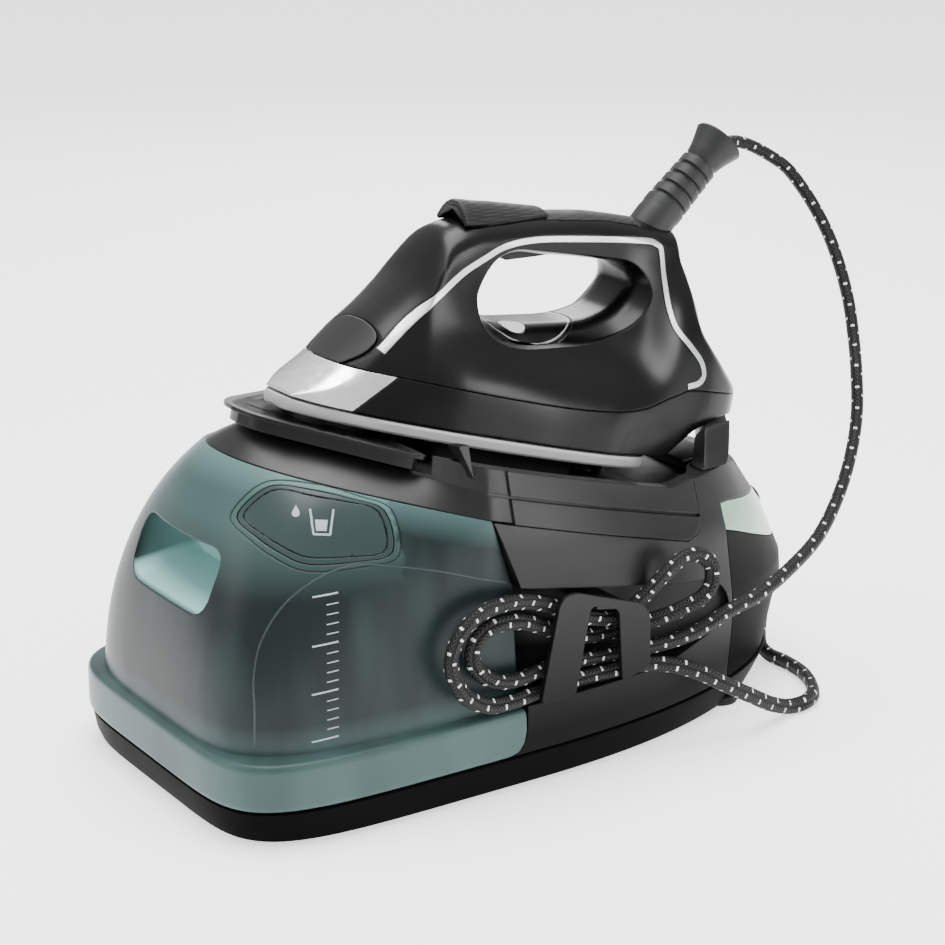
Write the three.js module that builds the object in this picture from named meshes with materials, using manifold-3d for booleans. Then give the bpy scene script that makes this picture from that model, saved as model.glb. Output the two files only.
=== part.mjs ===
// Steam generator iron: a base with a pull-out water tank, a boiler and an iron rest, the iron
// that stands on it, and the textile-covered steam hose between the two.
// Millimetres, +Z up, -Y is the front with the tank, +X is the side with the hose clip.
import * as THREE from 'three'
import { mergeVertices } from 'three/addons/utils/BufferGeometryUtils.js'
import Module from 'manifold-3d'

const wasm = await Module()
wasm.setup()

// ---- driving dimensions ----------------------------------------------------------------------
const DEG = Math.PI / 180
const TILT = 16 * DEG // the iron and everything that carries it lean nose up by this
const GAP = 0.4 // clearance between neighbouring pieces
const WALL = 2.6 // housing wall
const FRONT_Y = -200.5
const REAR_Y = 201.5
const WIDE_Y = -28.5 // where the plan is widest
const BASE_HALF = 107.5
const SEAT_Z = 20 // top of the tray, where tank and housing stand
const LEDGE_Z = 45 // top of the skirt all round
const TANK_END_Y = -41 // rear wall of the tank
const HOUSING_Y = TANK_END_Y + 1.2
const SOLE_TIP = new THREE.Vector3(0, -123.4, 196.8) // underside of the soleplate at its tip
const SOLE_LENGTH = 228
const SOLE_HALF = 57
const SOLE_THICK = 6.5
const REST_DROP = 27 // tank rim below the sole plane, square to it
const HOSE_D = 8

// ---- colours -----------------------------------------------------------------------------------
const COLOURS = {
  black: [0x17181a, 0.45, 0],
  dark: [0x26272a, 0.5, 0],
  housing: [0x2c2d30, 0.5, 0],
  rubber: [0x2b2c2e, 0.85, 0],
  tank: [0x4d7477, 0.25, 0],
  tankbright: [0x6fb3ae, 0.3, 0],
  chrome: [0xd9dadb, 0.12, 1],
  silver: [0xc4c6c8, 0.3, 0.8],
  soleplate: [0x8d9094, 0.35, 0.8],
  steel: [0xb5b7ba, 0.35, 0.9],
  brass: [0xb9975b, 0.35, 0.9],
  board: [0x2f6b46, 0.6, 0],
  lens: [0xbfe0cc, 0.3, 0],
  white: [0xe6e7e8, 0.5, 0],
  hose: [0x1c1d1e, 0.9, 0],
}

// ---- small helpers -----------------------------------------------------------------------------
const V = (x, y, z) => new THREE.Vector3(x, y, z)
const object = new THREE.Group()

function material(name) {
  const [color, roughness, metalness] = COLOURS[name]
  return new THREE.MeshStandardMaterial({ color, roughness, metalness })
}

function solid(geometry) {
  const bare = geometry.clone()
  bare.deleteAttribute('normal')
  bare.deleteAttribute('uv')
  const merged = mergeVertices(bare, 1e-4)
  const vertProperties = new Float32Array(merged.attributes.position.array)
  const triVerts = new Uint32Array(merged.index.array)
  return new wasm.Manifold(new wasm.Mesh({ numProp: 3, vertProperties, triVerts }))
}

// The largest single body of a shape, without the slivers that cutting leaves behind.
function cleaned(manifold) {
  const bodies = manifold.simplify(0.01).decompose()
  return bodies.reduce((best, body) => (body.volume() > best.volume() ? body : best))
}

function toGeometry(manifold) {
  const mesh = cleaned(manifold).getMesh()
  const geometry = new THREE.BufferGeometry()
  geometry.setAttribute('position', new THREE.BufferAttribute(new Float32Array(mesh.vertProperties), 3))
  geometry.setIndex(new THREE.BufferAttribute(new Uint32Array(mesh.triVerts), 1))
  return geometry
}

function add(name, shape, colour, group = object) {
  const geometry = shape.isBufferGeometry ? shape : toGeometry(shape)
  const mesh = new THREE.Mesh(geometry, material(colour))
  mesh.name = name
  group.add(mesh)
  return mesh
}

function moved(geometry, x, y, z) {
  return geometry.clone().translate(x, y, z)
}

// Closed skin through rings of equally many points, with a fan across the first and the last ring.
function loft(rings) {
  const count = rings[0].length
  const points = rings.flat()
  const faces = []
  for (let r = 0; r + 1 < rings.length; r++) {
    for (let i = 0; i < count; i++) {
      const a = r * count + i
      const b = r * count + ((i + 1) % count)
      faces.push(a, b, b + count, a, b + count, a + count)
    }
  }
  const last = (rings.length - 1) * count
  for (const [start, flip] of [[0, true], [last, false]]) {
    const centre = points.length
    const middle = V(0, 0, 0)
    for (let i = 0; i < count; i++) middle.addScaledVector(points[start + i], 1 / count)
    points.push(middle)
    for (let i = 0; i < count; i++) {
      const a = start + i
      const b = start + ((i + 1) % count)
      faces.push(...(flip ? [b, a, centre] : [a, b, centre]))
    }
  }
  return facingOut(points, faces)
}

function facingOut(points, faces) {
  let volume = 0
  for (let f = 0; f < faces.length; f += 3) {
    const [a, b, c] = [points[faces[f]], points[faces[f + 1]], points[faces[f + 2]]]
    volume += a.dot(b.clone().cross(c))
  }
  if (volume < 0) {
    for (let f = 0; f < faces.length; f += 3) [faces[f], faces[f + 1]] = [faces[f + 1], faces[f]]
  }
  const geometry = new THREE.BufferGeometry().setFromPoints(points)
  geometry.setIndex(faces)
  return geometry
}

// A flat outline of [u, v] points pushed along one axis from low to high.
function prism(outline, axis, low, high, holes = []) {
  const shape = new THREE.Shape(outline.map(([u, v]) => new THREE.Vector2(u, v)))
  shape.holes = holes.map((hole) => new THREE.Path(hole.map(([u, v]) => new THREE.Vector2(u, v))))
  const geometry = new THREE.ExtrudeGeometry(shape, { depth: high - low, bevelEnabled: false })
  geometry.translate(0, 0, low)
  if (axis === 'x') geometry.applyMatrix4(new THREE.Matrix4().set(0, 0, 1, 0, 1, 0, 0, 0, 0, 1, 0, 0, 0, 0, 0, 1))
  if (axis === 'y') geometry.applyMatrix4(new THREE.Matrix4().set(1, 0, 0, 0, 0, 0, -1, 0, 0, 1, 0, 0, 0, 0, 0, 1))
  return geometry
}

function block(x0, x1, y0, y1, z0, z1) {
  return new THREE.BoxGeometry(x1 - x0, y1 - y0, z1 - z0).translate((x0 + x1) / 2, (y0 + y1) / 2, (z0 + z1) / 2)
}

const slab = (...sizes) => solid(block(...sizes))

// A solid of revolution about +Z from [radius, height] points that start and end on the axis.
function turned(profile, sides = 16) {
  return new THREE.LatheGeometry(profile.map(([r, h]) => new THREE.Vector2(r, h)), sides).rotateX(Math.PI / 2)
}

function rod(radius, z0, z1, sides = 14) {
  return turned([[0, z0], [radius, z0], [radius, z1], [0, z1]], sides)
}

// Turns a shape made about +Z so that it runs along the given direction, then puts it at a place.
function aimed(geometry, direction, place) {
  const turn = new THREE.Quaternion().setFromUnitVectors(V(0, 0, 1), direction.clone().normalize())
  return geometry.clone().applyQuaternion(turn).translate(place.x, place.y, place.z)
}

// Straight steps between named stations: pick(table, at) gives the row's values at a position.
function pick(table, at) {
  if (at <= table[0][0]) return table[0].slice(1)
  for (let i = 1; i < table.length; i++) {
    const [low, high] = [table[i - 1], table[i]]
    if (at <= high[0]) {
      const t = (at - low[0]) / (high[0] - low[0])
      return high.slice(1).map((value, k) => low[k + 1] + (value - low[k + 1]) * t)
    }
  }
  return table[table.length - 1].slice(1)
}

// ---- the plan of the base ------------------------------------------------------------------------
// Each level is a superellipse: square at the front, round at the rear, widest at WIDE_Y.
const FRONT_POWER = 6
const REAR_POWER = 2.2
const PLAN_STEPS = 36

function planRing(half, front, rear, height, inset = 0, power = FRONT_POWER) {
  const ring = []
  for (let i = 0; i < PLAN_STEPS; i++) {
    const angle = (i / PLAN_STEPS) * 2 * Math.PI
    const [c, s] = [Math.cos(angle), Math.sin(angle)]
    const n = s > 0 ? REAR_POWER : power
    const reach = s > 0 ? rear - inset - WIDE_Y : WIDE_Y - front - inset
    const x = Math.sign(c) * Math.abs(c) ** (2 / n) * (half - inset)
    const y = WIDE_Y + Math.sign(s) * Math.abs(s) ** (2 / n) * reach
    ring.push(V(x, y, typeof height === 'function' ? height(y) : height))
  }
  return ring
}

// Height of a plane that leans with the iron, square distance `drop` below the soleplate.
function leaning(drop) {
  return (y) => SOLE_TIP.z - drop / Math.cos(TILT) - (y - SOLE_TIP.y) * Math.tan(TILT)
}

// ---- base tray, feet, screws ---------------------------------------------------------------------
const FEET = [[-78, -160], [78, -160], [-70, 122], [70, 122]]
const SCREWS = [[-60, -140], [60, -140], [-56, 142], [56, 142]]

function buildTray() {
  const outer = [
    planRing(103.5, FRONT_Y + 5, REAR_Y - 22, 1.6),
    planRing(105, FRONT_Y + 2, REAR_Y - 16, 9),
    planRing(106, FRONT_Y + 0.6, REAR_Y - 9, SEAT_Z - 0.6),
  ]
  const inner = [
    planRing(102.5, FRONT_Y + 4, REAR_Y - 12, SEAT_Z - 0.6),
    planRing(100, FRONT_Y + 9, REAR_Y - 20, 9.5),
    planRing(94, FRONT_Y + 22, REAR_Y - 29, 5.5),
  ]
  let tray = solid(loft([...outer, ...inner]))
  for (const [x, y] of FEET) tray = tray.add(solid(moved(rod(15, 4.5, 8.4), x, y, 0)))
  for (const [x, y] of SCREWS) tray = tray.add(solid(moved(rod(6, 4.5, 15.5, 10), x, y, 0)))
  for (const [x, y] of FEET) tray = tray.subtract(solid(moved(rod(12, 0, 5.8), x, y, 0)))
  for (const [x, y] of SCREWS) {
    tray = tray.subtract(solid(moved(rod(5, 0, 6.2, 10), x, y, 0)))
    tray = tray.subtract(solid(moved(rod(2.3, 5, 14.2, 8), x, y, 0)))
  }
  add('base_tray', tray, 'black')
  FEET.forEach(([x, y], i) => {
    const profile = [[0, 0], [9.8, 0], [11, 1.2], [11, 5.2], [0, 5.2]]
    add(`rubber_foot_${i + 1}`, moved(turned(profile), x, y, 0), 'rubber')
  })
  SCREWS.forEach(([x, y], i) => {
    const profile = [[0, 3.4], [4, 3.4], [4, 5.6], [1.6, 5.6], [1.6, 13.5], [0, 13.5]]
    add(`base_screw_${i + 1}`, moved(turned(profile, 8), x, y, 0), 'steel')
  })
}

// ---- water tank ------------------------------------------------------------------------------------
const TANK_STEPS = 15 // points from the front centre to the rear end of one side
const TANK_HALF = 99.5
const TANK_FRONT_Y = -196.5
const TANK_POWER = 5
const RIM_FRONT_Y = -154.5
const TANK_ROWS = [0, 0.22, 0.42, 0.6, 0.75, 0.88, 1]
const RIM_SPREAD = 12.35 // half width of the rim = RIM_SPREAD * (distance behind its front) ^ 0.45
const RIM_POWER = 0.45
const RIM_MAX = 98.8

function evenly(points, count) {
  const curve = new THREE.CurvePath()
  for (let i = 0; i + 1 < points.length; i++) curve.add(new THREE.LineCurve3(points[i], points[i + 1]))
  return Array.from({ length: count + 1 }, (_, i) => curve.getPointAt(i / count))
}

function footLine(half, front, power, z) {
  const line = []
  for (let i = 0; i <= 90; i++) {
    const angle = (-90 + i) * DEG
    const x = Math.abs(Math.cos(angle)) ** (2 / power) * half
    const y = WIDE_Y - Math.abs(Math.sin(angle)) ** (2 / power) * (WIDE_Y - front)
    if (y < TANK_END_Y) line.push(V(i === 0 ? 0 : x, y, z))
  }
  line.push(V(half, TANK_END_Y, z))
  return evenly(line, TANK_STEPS)
}

function rimHalf(y) {
  return Math.min(RIM_MAX, RIM_SPREAD * Math.max(0, y - RIM_FRONT_Y) ** RIM_POWER)
}

function rimLine(inset, drop) {
  const line = []
  const reach = TANK_END_Y - RIM_FRONT_Y
  for (let i = 0; i <= 60; i++) {
    const y = RIM_FRONT_Y + reach * (i / 60) ** 2
    line.push(V(rimHalf(y), y, 0))
  }
  return evenly(insetLine(line, inset), TANK_STEPS).map((p) => V(p.x, p.y, leaning(drop)(p.y)))
}

// Moves a half outline that runs from x = 0 to its rear end inwards, keeping both ends in their planes.
function insetLine(line, distance) {
  return line.map((p, i) => {
    const before = line[Math.max(0, i - 1)]
    const after = line[Math.min(line.length - 1, i + 1)]
    const along = after.clone().sub(before).setZ(0).normalize()
    if (i === 0) along.set(1, 0, 0)
    if (i === line.length - 1) along.set(0, 1, 0)
    return V(Math.max(0, p.x - along.y * distance), p.y + along.x * distance, p.z)
  })
}

function wholeRing(half) {
  const near = half.slice().reverse()
  const far = half.slice(1).map((p) => V(-p.x, p.y, p.z))
  return [...near, ...far]
}

function tankHeights(inset, rows) {
  const foot = insetLine(footLine(TANK_HALF, TANK_FRONT_Y, TANK_POWER, LEDGE_Z + 0.5), inset)
  const rim = rimLine(inset, REST_DROP + 0.4 + inset)
  return rows.map((t) => wholeRing(foot.map((f, i) => {
    const r = rim[i]
    const rise = r.z - f.z
    const low = V(f.x * 0.985, f.y * 0.99 - 0.2, f.z + rise * 0.42)
    const high = V(r.x + (f.x - r.x) * 0.68, r.y + (f.y - r.y) * 0.6, r.z - rise * 0.2)
    return new THREE.CubicBezierCurve3(f, low, high, r).getPoint(t)
  })))
}

function skirtRing(inset, z) {
  return wholeRing(insetLine(footLine(BASE_HALF - 0.5, FRONT_Y - 1, FRONT_POWER, z), inset))
}

function tankOuter() {
  const skirt = [skirtRing(1.2, SEAT_Z + 0.2), skirtRing(0, SEAT_Z + 3), skirtRing(0.2, LEDGE_Z - 2)]
  const wall = tankHeights(0, TANK_ROWS)
  return solid(loft([...skirt, skirtRing(1.6, LEDGE_Z), ...wall]))
}

function tankInner(inset) {
  const skirt = [skirtRing(inset, SEAT_Z + inset + 1), skirtRing(inset, LEDGE_Z - inset)]
  const wall = tankHeights(inset, TANK_ROWS)
  return solid(loft([...skirt, ...wall]))
}

const RECESS = { top: 43, bottom: 40, low: 106, high: 139, deep: 36, lift: 9 }
const VALVE = V(-46, TANK_END_Y, 36)

function recessSolid(grow, deep) {
  const { top, bottom, low, high, lift } = RECESS
  const frame = (y, shrink, rise) => [
    V(-bottom - grow + shrink, y, low - grow + rise),
    V(bottom + grow - shrink, y, low - grow + rise),
    V(top + grow - shrink, y, high + grow - shrink + rise / 2),
    V(-top - grow + shrink, y, high + grow - shrink + rise / 2),
  ]
  const mouth = TANK_FRONT_Y + 12
  return solid(loft([frame(mouth - 22, 0, -3), frame(mouth, 0, 0), frame(mouth + deep, 4, lift)]))
}

// The flap's own frame: u along the flap to the rear, v up the wall, w out of it.
const FLAP_PLACE = V(62, -137, 152.7)
const FLAP_U = V(0.516, 0.857, -0.017).normalize()
const FLAP_W = V(0.666, -0.388, 0.637).projectOnPlane(FLAP_U).normalize()
const FLAP_V = FLAP_W.clone().cross(FLAP_U)
const LEAF = [
  [-36, 5], [-29, 14.4], [-18, 20], [0, 17], [20, 12.5], [36.6, 7], [40.6, -13], [24.7, -19], [0, -22], [-14.6, -16], [-27, -6],
]

function leafOutline(grow) {
  return LEAF.map(([u, v]) => {
    const size = Math.hypot(u, v)
    return [u * (1 + grow / size), v * (1 + grow / size)]
  })
}

function flapPrism(grow, low, high) {
  const place = new THREE.Matrix4().makeBasis(FLAP_U, FLAP_V, FLAP_W).setPosition(FLAP_PLACE)
  return solid(prism(leafOutline(grow), 'z', low, high).applyMatrix4(place))
}

function buildTank(group) {
  const outer = tankOuter()
  const under = (depth) => outer.translate(FLAP_W.clone().multiplyScalar(-depth).toArray())
  const seat = flapPrism(4, -14, 30).subtract(under(6))
  const hollow = tankInner(2.6).subtract(recessSolid(2.4, RECESS.deep)).subtract(seat)
  let shell = outer.subtract(hollow).subtract(recessSolid(0, RECESS.deep - 2.4))
  shell = shell.subtract(flapPrism(0.6, -14, 30).subtract(under(3.2)))
  shell = shell.subtract(flapPrism(-5, -30, 30))
  const toValve = V(0, 1, 0)
  shell = shell.subtract(solid(aimed(rod(8.4, -14, 4), toValve, VALVE)))
  add('tank_shell', shell, 'tank', group)
  const flap = flapPrism(0, -14, 30).intersect(outer).subtract(under(2.4))
  add('tank_flap', flap, 'tankbright', group)
  const valve = [[0, -9], [4, -9], [4, -3], [7.9, -3], [7.9, -0.6], [0, -0.6]]
  add('tank_valve', aimed(turned(valve), toValve, VALVE), 'white', group)
}

// ---- housing, rear cover, lens ---------------------------------------------------------------------
// Heights along y of the side crease, of the shoulder above it and of the top edge.
const CREASE = [[-40, 114], [44, 89], [110, 73], [200, 70]]
const SHOULDER = [[-40, 137], [88, 110], [130, 105], [185, 100]]
const BROW = [[-40, 171], [75, 138], [91, 138.5], [107, 138.5], [130, 137], [150, 131], [168, 127]]
const EDGE_DROP = 2 // top edge of the rest below the sole plane
const FLOOR_DROP = 12 // floor of the well the iron stands in
const SEAM_Y = 115
const HOOP_SEAT_Z = 137.4

const heights = (table, lift = 0) => (y) => pick(table, y)[0] + lift
const slope = (drop, ...places) => places.map((y) => [y, leaning(drop)(y)])

function housingOuter(inset, foot) {
  const ring = (half, rear, height) => planRing(half, FRONT_Y, rear, height, inset)
  return solid(loft([
    ring(106.5, 190, foot),
    ring(107.5, 196, 44),
    ring(107.5, 201.5, 60),
    ring(106, 201, heights(CREASE)),
    ring(102, 186, heights(SHOULDER)),
    ring(92.5, 166, heights(BROW)),
    ring(88, 156, heights(BROW, 16)),
  ]))
}

const TOP_LINE = [
  ...slope(EDGE_DROP, -60, 75), [90, 137.8], [108, HOOP_SEAT_Z], [131, HOOP_SEAT_Z - 0.6], [150, 130], [168, 127], [240, 126],
]
const FLOOR_LINE = [...slope(FLOOR_DROP, -170, 88), [100, 122.5], [130, 124.5], [165, 127.4], [240, 128]]
const WELL_OUTLINE = [
  [0, -170], [38, -158], [62, -108], [74, -76], [82, -30], [80, 30], [74, 65], [66, 95], [50, 112], [46, 135], [36, 172], [0, 190],
]

const above = (line, raise = 0) => {
  const [first, last] = [line[0], line[line.length - 1]]
  const outline = [...line.map(([y, z]) => [y, z + raise]), [last[0], 320], [first[0], 320]]
  return solid(prism(outline, 'x', -150, 150))
}

function mirrored(half) {
  const far = half.filter(([x]) => x > 0).map(([x, y]) => [-x, y]).reverse()
  return [...half, ...far]
}

function well() {
  return above(FLOOR_LINE).intersect(solid(prism(mirrored(WELL_OUTLINE), 'z', 90, 260)))
}

// Side view of everything that belongs to the rest: down to the lower line, with a rounded rear corner.
function restRegion(grow) {
  const low = slope(REST_DROP + 0.4 + grow, -60, 80)
  const corner = [[87, 111.5 - grow], [92 + grow / 2, 116], [93.5 + grow, 124], [94.5 + grow, 160], [-60, 260]]
  return solid(prism([...low, ...corner], 'x', -150, 150))
}

// Side view of the lens and of the rear cover below it.
function lensRegion(grow) {
  const upper = [[240, 92 + grow], [190, 103 + grow], [167, 111 + grow], [124, 126 + grow], [SEAM_Y - grow, 127 + grow]]
  const lower = [[SEAM_Y - grow, 106 - grow], [124, 103 - grow], [171, 84 - grow], [240, 64 - grow]]
  return solid(prism([...lower, ...upper], 'x', -150, 150))
}

// The lens is only a skin: it stops short of the well inside the housing.
function lensBand(grow) {
  return lensRegion(grow).subtract(housingOuter(LENS_DEPTH + grow, SEAT_Z - 4))
}

function coverRegion(grow) {
  const outline = [
    [SEAM_Y - grow, -10], [240, -10], [240, 64 + grow], [171, 84 + grow], [124, 103 + grow], [SEAM_Y - grow, 106 + grow],
  ]
  return solid(prism(outline, 'x', -150, 150))
}

const LENS_DEPTH = 5
const CHANNEL_X = 84
const CHANNEL = [[-60, 47], [60, 47], [112, 59], [112, 72], [100, 84], [40, 96], [-60, 116]]
const GLAND_FROM = V(-16, 186, 29)
const GLAND_TO = V(5, 196.5, 28.4)
const SCALE_PORT = V(-100, 60, 60)

// ---- rear buttons ----
const REAR_BUTTONS = [-15, 15]
const REAR_BUTTON_Y = 186.5
const REAR_BUTTON_Z = 96
const REAR_NORMAL = V(0, 0.88, 0.47)

function buildRearButtons(group) {
  const names = ['power_button', 'eco_button']
  const profile = [[0, -3], [4, -3], [4, -1.6], [7, -1.6], [7, 1.6], [6.2, 2.2], [0, 2.2]]
  REAR_BUTTONS.forEach((x, i) => {
    add(names[i], aimed(turned(profile), REAR_NORMAL, V(x, REAR_BUTTON_Y, REAR_BUTTON_Z)), 'dark', group)
  })
}

function buildHousing(group) {
  const outer = housingOuter(0, SEAT_Z + 0.6).intersect(slab(-150, 150, HOUSING_Y, 260, 0, 320))
    .subtract(above(TOP_LINE)).subtract(well())
  const cavity = housingOuter(WALL, SEAT_Z - 4).intersect(slab(-150, 150, HOUSING_Y + WALL, 260, 0, 320))
    .subtract(above([...slope(REST_DROP + WALL + 1, -60, 84), [94, 119], [240, 119]]))
  const channel = solid(prism(CHANNEL, 'x', CHANNEL_X, 150))
  const raised = (by) => solid(prism(CHANNEL.map(([y, z]) => [y, z + by]), 'x', CHANNEL_X - WALL, 150))
  const channelWall = raised(0).add(raised(WALL)).add(raised(-WALL))
  const hollow = cavity.subtract(channelWall)
  const shell = outer.subtract(hollow).subtract(channel)
  const glandAxis = GLAND_TO.clone().sub(GLAND_FROM)
  const glandHole = solid(aimed(rod(7.6, -14, 40), glandAxis, GLAND_FROM))
  const port = solid(aimed(rod(13.8, -8, 20), V(-1, 0, 0), SCALE_PORT))
  const valveHole = solid(aimed(rod(9, -2, 8), V(0, 1, 0), VALVE))
  const main = shell.subtract(restRegion(GAP * 1.5)).subtract(coverRegion(GAP / 2)).subtract(lensBand(GAP / 2))
    .subtract(port).subtract(valveHole)
  add('main_housing', main, 'housing', group)
  add('rear_cover', shell.intersect(coverRegion(-GAP / 2)).subtract(glandHole), 'housing', group)
  const lens = shell.intersect(lensBand(-GAP / 2))
  const holes = REAR_BUTTONS.map((x) => {
    return solid(aimed(rod(7.7, -12, 12), REAR_NORMAL, V(x, REAR_BUTTON_Y, REAR_BUTTON_Z)))
  })
  add('lens_strip', holes.reduce((body, hole) => body.subtract(hole), lens), 'lens', group)
  return { outer }
}

// ---- iron rest with its lip and pads ---------------------------------------------------------------
// Plan of the rest ahead of the housing: the tank rim moved inwards, less and less towards the rear.
function neckRing(front, rear, drop) {
  const shifted = rimLine(0, drop).map((p) => {
    const t = THREE.MathUtils.smoothstep(p.y, -100, TANK_END_Y)
    const x = p.x - (front + (rear - front) * t) * Math.min(1, p.x / 40)
    const y = p.y + front * (1 - THREE.MathUtils.smoothstep(p.y, -110, -60))
    return V(Math.max(0, x), y, leaning(drop)(y))
  })
  const back = V(shifted[shifted.length - 1].x, -30, leaning(drop)(-30))
  return wholeRing([...shifted, back])
}

function buildRest(outer, group) {
  const neck = solid(loft([neckRing(0.8, 0.4, REST_DROP), neckRing(8, 2.4, 20), neckRing(16, 4.6, 13)]))
  const brow = solid(loft([neckRing(15, 4.2, 14), neckRing(15, 7.6, EDGE_DROP)]))
    .intersect(slab(-150, 150, -80, 0, 0, 300)).subtract(well())
  let rest = outer.intersect(restRegion(0)).add(neck).add(brow)
  rest = rest.subtract(above(slope(EDGE_DROP, -120, 75).concat([[90, 138.4], [120, 138.4]])))
  add('iron_rest', rest, 'housing', group)
  const lipHalf = [[0, -18], [13, -15.5], [26, -6], [42, 11], [56, 26], [67, 38], [72, 48]]
  const lip = prism(mirrored(lipHalf), 'z', -FLOOR_DROP + 5.4, -3.2)
  const post = prism(mirrored([[0, 0], [22, 6], [40, 28], [50, 44]]), 'z', -FLOOR_DROP + 0.4, -FLOOR_DROP + 6)
  add('rest_lip', tilted(solid(lip).add(solid(post))), 'black', group)
  const pad = (x0, x1, y0, y1, low, high) => tilted(solid(block(x0, x1, y0, y1, low, high)))
  add('rest_pad_left', pad(-36, -24, 80, 176, -FLOOR_DROP + 0.4, -0.5), 'rubber', group)
  add('rest_pad_right', pad(24, 36, 80, 176, -FLOOR_DROP + 0.4, -0.5), 'rubber', group)
  add('heel_pad', tilted(solid(moved(rod(15, -FLOOR_DROP + 0.5, -0.5, 20), 0, 205, 0))), 'rubber', group)
}

// Puts a shape made in the iron's own frame (y along the sole from its tip, z square to it) in place.
const IRON_FRAME = new THREE.Matrix4().makeRotationX(-TILT).setPosition(SOLE_TIP)
function tilted(shape) {
  const geometry = shape.isBufferGeometry ? shape.clone() : toGeometry(shape)
  return geometry.applyMatrix4(IRON_FRAME)
}

// ---- hose clip and lock hoop -------------------------------------------------------------------------
const CLIP_X = [109.5, 112.4]
const CLIP_OUTLINE = [
  [-31.3, 48.4], [-10.4, 48.2], [-8.5, 51.8], [20.7, 51.8], [22, 49.8], [39.2, 53.8], [38.4, 83.9], [32.9, 90.7],
  [-9.3, 105.1], [-16, 104.6], [-20, 101.4],
]
const CLIP_WINDOW = [[-8.5, 53], [-0.3, 96.1], [17.9, 90.6], [20.7, 53]]
const CLIP_WEB = [[4, 93], [26, 89], [26, 91.6], [4, 99.6]]

function buildClip(group) {
  const legs = solid(prism(CLIP_OUTLINE, 'x', ...CLIP_X))
  const window = solid(prism([[-11, 40], ...CLIP_WINDOW, [20.9, 40]], 'x', 100, 120))
  const web = solid(prism(CLIP_WEB, 'x', CHANNEL_X + GAP, CLIP_X[1] - 1))
  add('hose_clip', legs.subtract(window).add(web), 'housing', group)
}

const HOOP_STATIONS = [1, 0.985, 0.95, 0.88, 0.76, 0.6, 0.42, 0.2, 0, -0.2, -0.42, -0.6, -0.76, -0.88, -0.95, -0.985, -1]
function hoopRing(u) {
  const reach = Math.abs(u)
  const lift = HOOP_SEAT_Z + GAP + 12 * (1 - reach ** 3)
  const front = V(66 * u, 108.6 + 47 * (1 - reach) ** 0.85, lift)
  const rear = V(62 * u, 129 + 46 * (1 - reach) ** 0.85, lift - 0.6)
  const inward = (p, x, z) => V(p.x - Math.sign(u) * x * reach, p.y, p.z - z * (1 - reach ** 4))
  const middle = front.clone().lerp(rear, 0.5).add(V(Math.sign(u) * 1.2 * reach, 0, 1.2 * (1 - reach)))
  return [front, middle, rear, inward(rear, 10, 9), inward(front, 12, 10)]
}

function buildHoop(group) {
  add('lock_hoop', loft(HOOP_STATIONS.map(hoopRing)), 'housing', group)
}

// ---- inside the base -----------------------------------------------------------------------------------
const BOILER = V(-5, 55, 62)
const BOILER_R = 32
const BOILER_HALF = 54

function buildInsides(group) {
  const alongX = V(1, 0, 0)
  const tank = [
    [0, -BOILER_HALF], [BOILER_R - 8, -BOILER_HALF], [BOILER_R, -BOILER_HALF + 8], [BOILER_R, BOILER_HALF - 8],
    [BOILER_R - 8, BOILER_HALF], [0, BOILER_HALF],
  ]
  add('boiler', aimed(turned(tank, 20), alongX, BOILER), 'steel', group)
  const heater = [[0, -BOILER_HALF - 7], [20, -BOILER_HALF - 7], [20, -BOILER_HALF - GAP], [0, -BOILER_HALF - GAP]]
  add('boiler_heater', aimed(turned(heater), alongX, BOILER), 'silver', group)
  const names = ['boiler_strap_front', 'boiler_strap_rear']
  const strapX = [-38, 28]
  strapX.forEach((x, i) => {
    const place = V(x, BOILER.y, BOILER.z)
    const bore = solid(aimed(rod(BOILER_R + 1, -8, 8, 24), alongX, place))
    const ring = solid(aimed(rod(BOILER_R + 2.8, -6, 6, 24), alongX, place)).subtract(bore)
    const foot = slab(x - 6, x + 6, BOILER.y - 10, BOILER.y + 10, 6, BOILER.z - BOILER_R - 1.6)
    add(names[i], ring.add(foot), 'dark', group)
  })
  const pumpBody = solid(aimed(rod(15, -24, 24), V(0, 1, 0), V(52, -6, 40))).add(slab(42, 62, -24, 12, 6, 32))
  add('pump', pumpBody, 'black', group)
  add('control_board', block(-68, -12, 128, 130, 40, 92), 'board', group)
  const valve = [[0, 0], [9, 0], [9, 16], [6, 16], [6, 26], [0, 26]]
  add('steam_valve', moved(turned(valve), 40, 96, 70), 'brass', group)
  const pipe = new THREE.CatmullRomCurve3([V(5, 62, 96.4), V(7, 68, 100), V(18, 82, 101), V(34, 92, 101.4), V(40, 95, 100.4)])
  add('steam_pipe', closedTube(pipe, 12, 2.6, 8), 'brass', group)
  const dock = [[3, -2], [8.2, -2], [8.2, 3], [12, 3], [12, 7], [3, 7], [3, -2]]
  add('tank_dock', aimed(turned(dock), V(0, 1, 0), V(VALVE.x, HOUSING_Y + 3, VALVE.z)), 'black', group)
  const sleeve = [[10, 6], [12.6, 6], [12.6, 22], [10, 22], [10, 6]]
  add('scale_collector', aimed(turned(sleeve), alongX, SCALE_PORT), 'steel', group)
  const lid = solid(aimed(turned([[0, -1], [12.8, -1], [12.8, 5.4], [0, 5.4]]), alongX, SCALE_PORT))
  const { x, y, z } = SCALE_PORT
  add('scale_cap', lid.add(slab(x - 4, x, y - 10, y + 10, z - 2.5, z + 2.5)), 'black', group)
  const glandAxis = GLAND_TO.clone().sub(GLAND_FROM)
  const length = glandAxis.length()
  const gland = [[0, 0], [7, 0], [7, length - 2], [5.8, length], [4.9, length], [4.9, length - 9], [0, length - 9]]
  add('hose_gland', aimed(turned(gland), glandAxis, GLAND_FROM), 'rubber', group)
}

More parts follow.
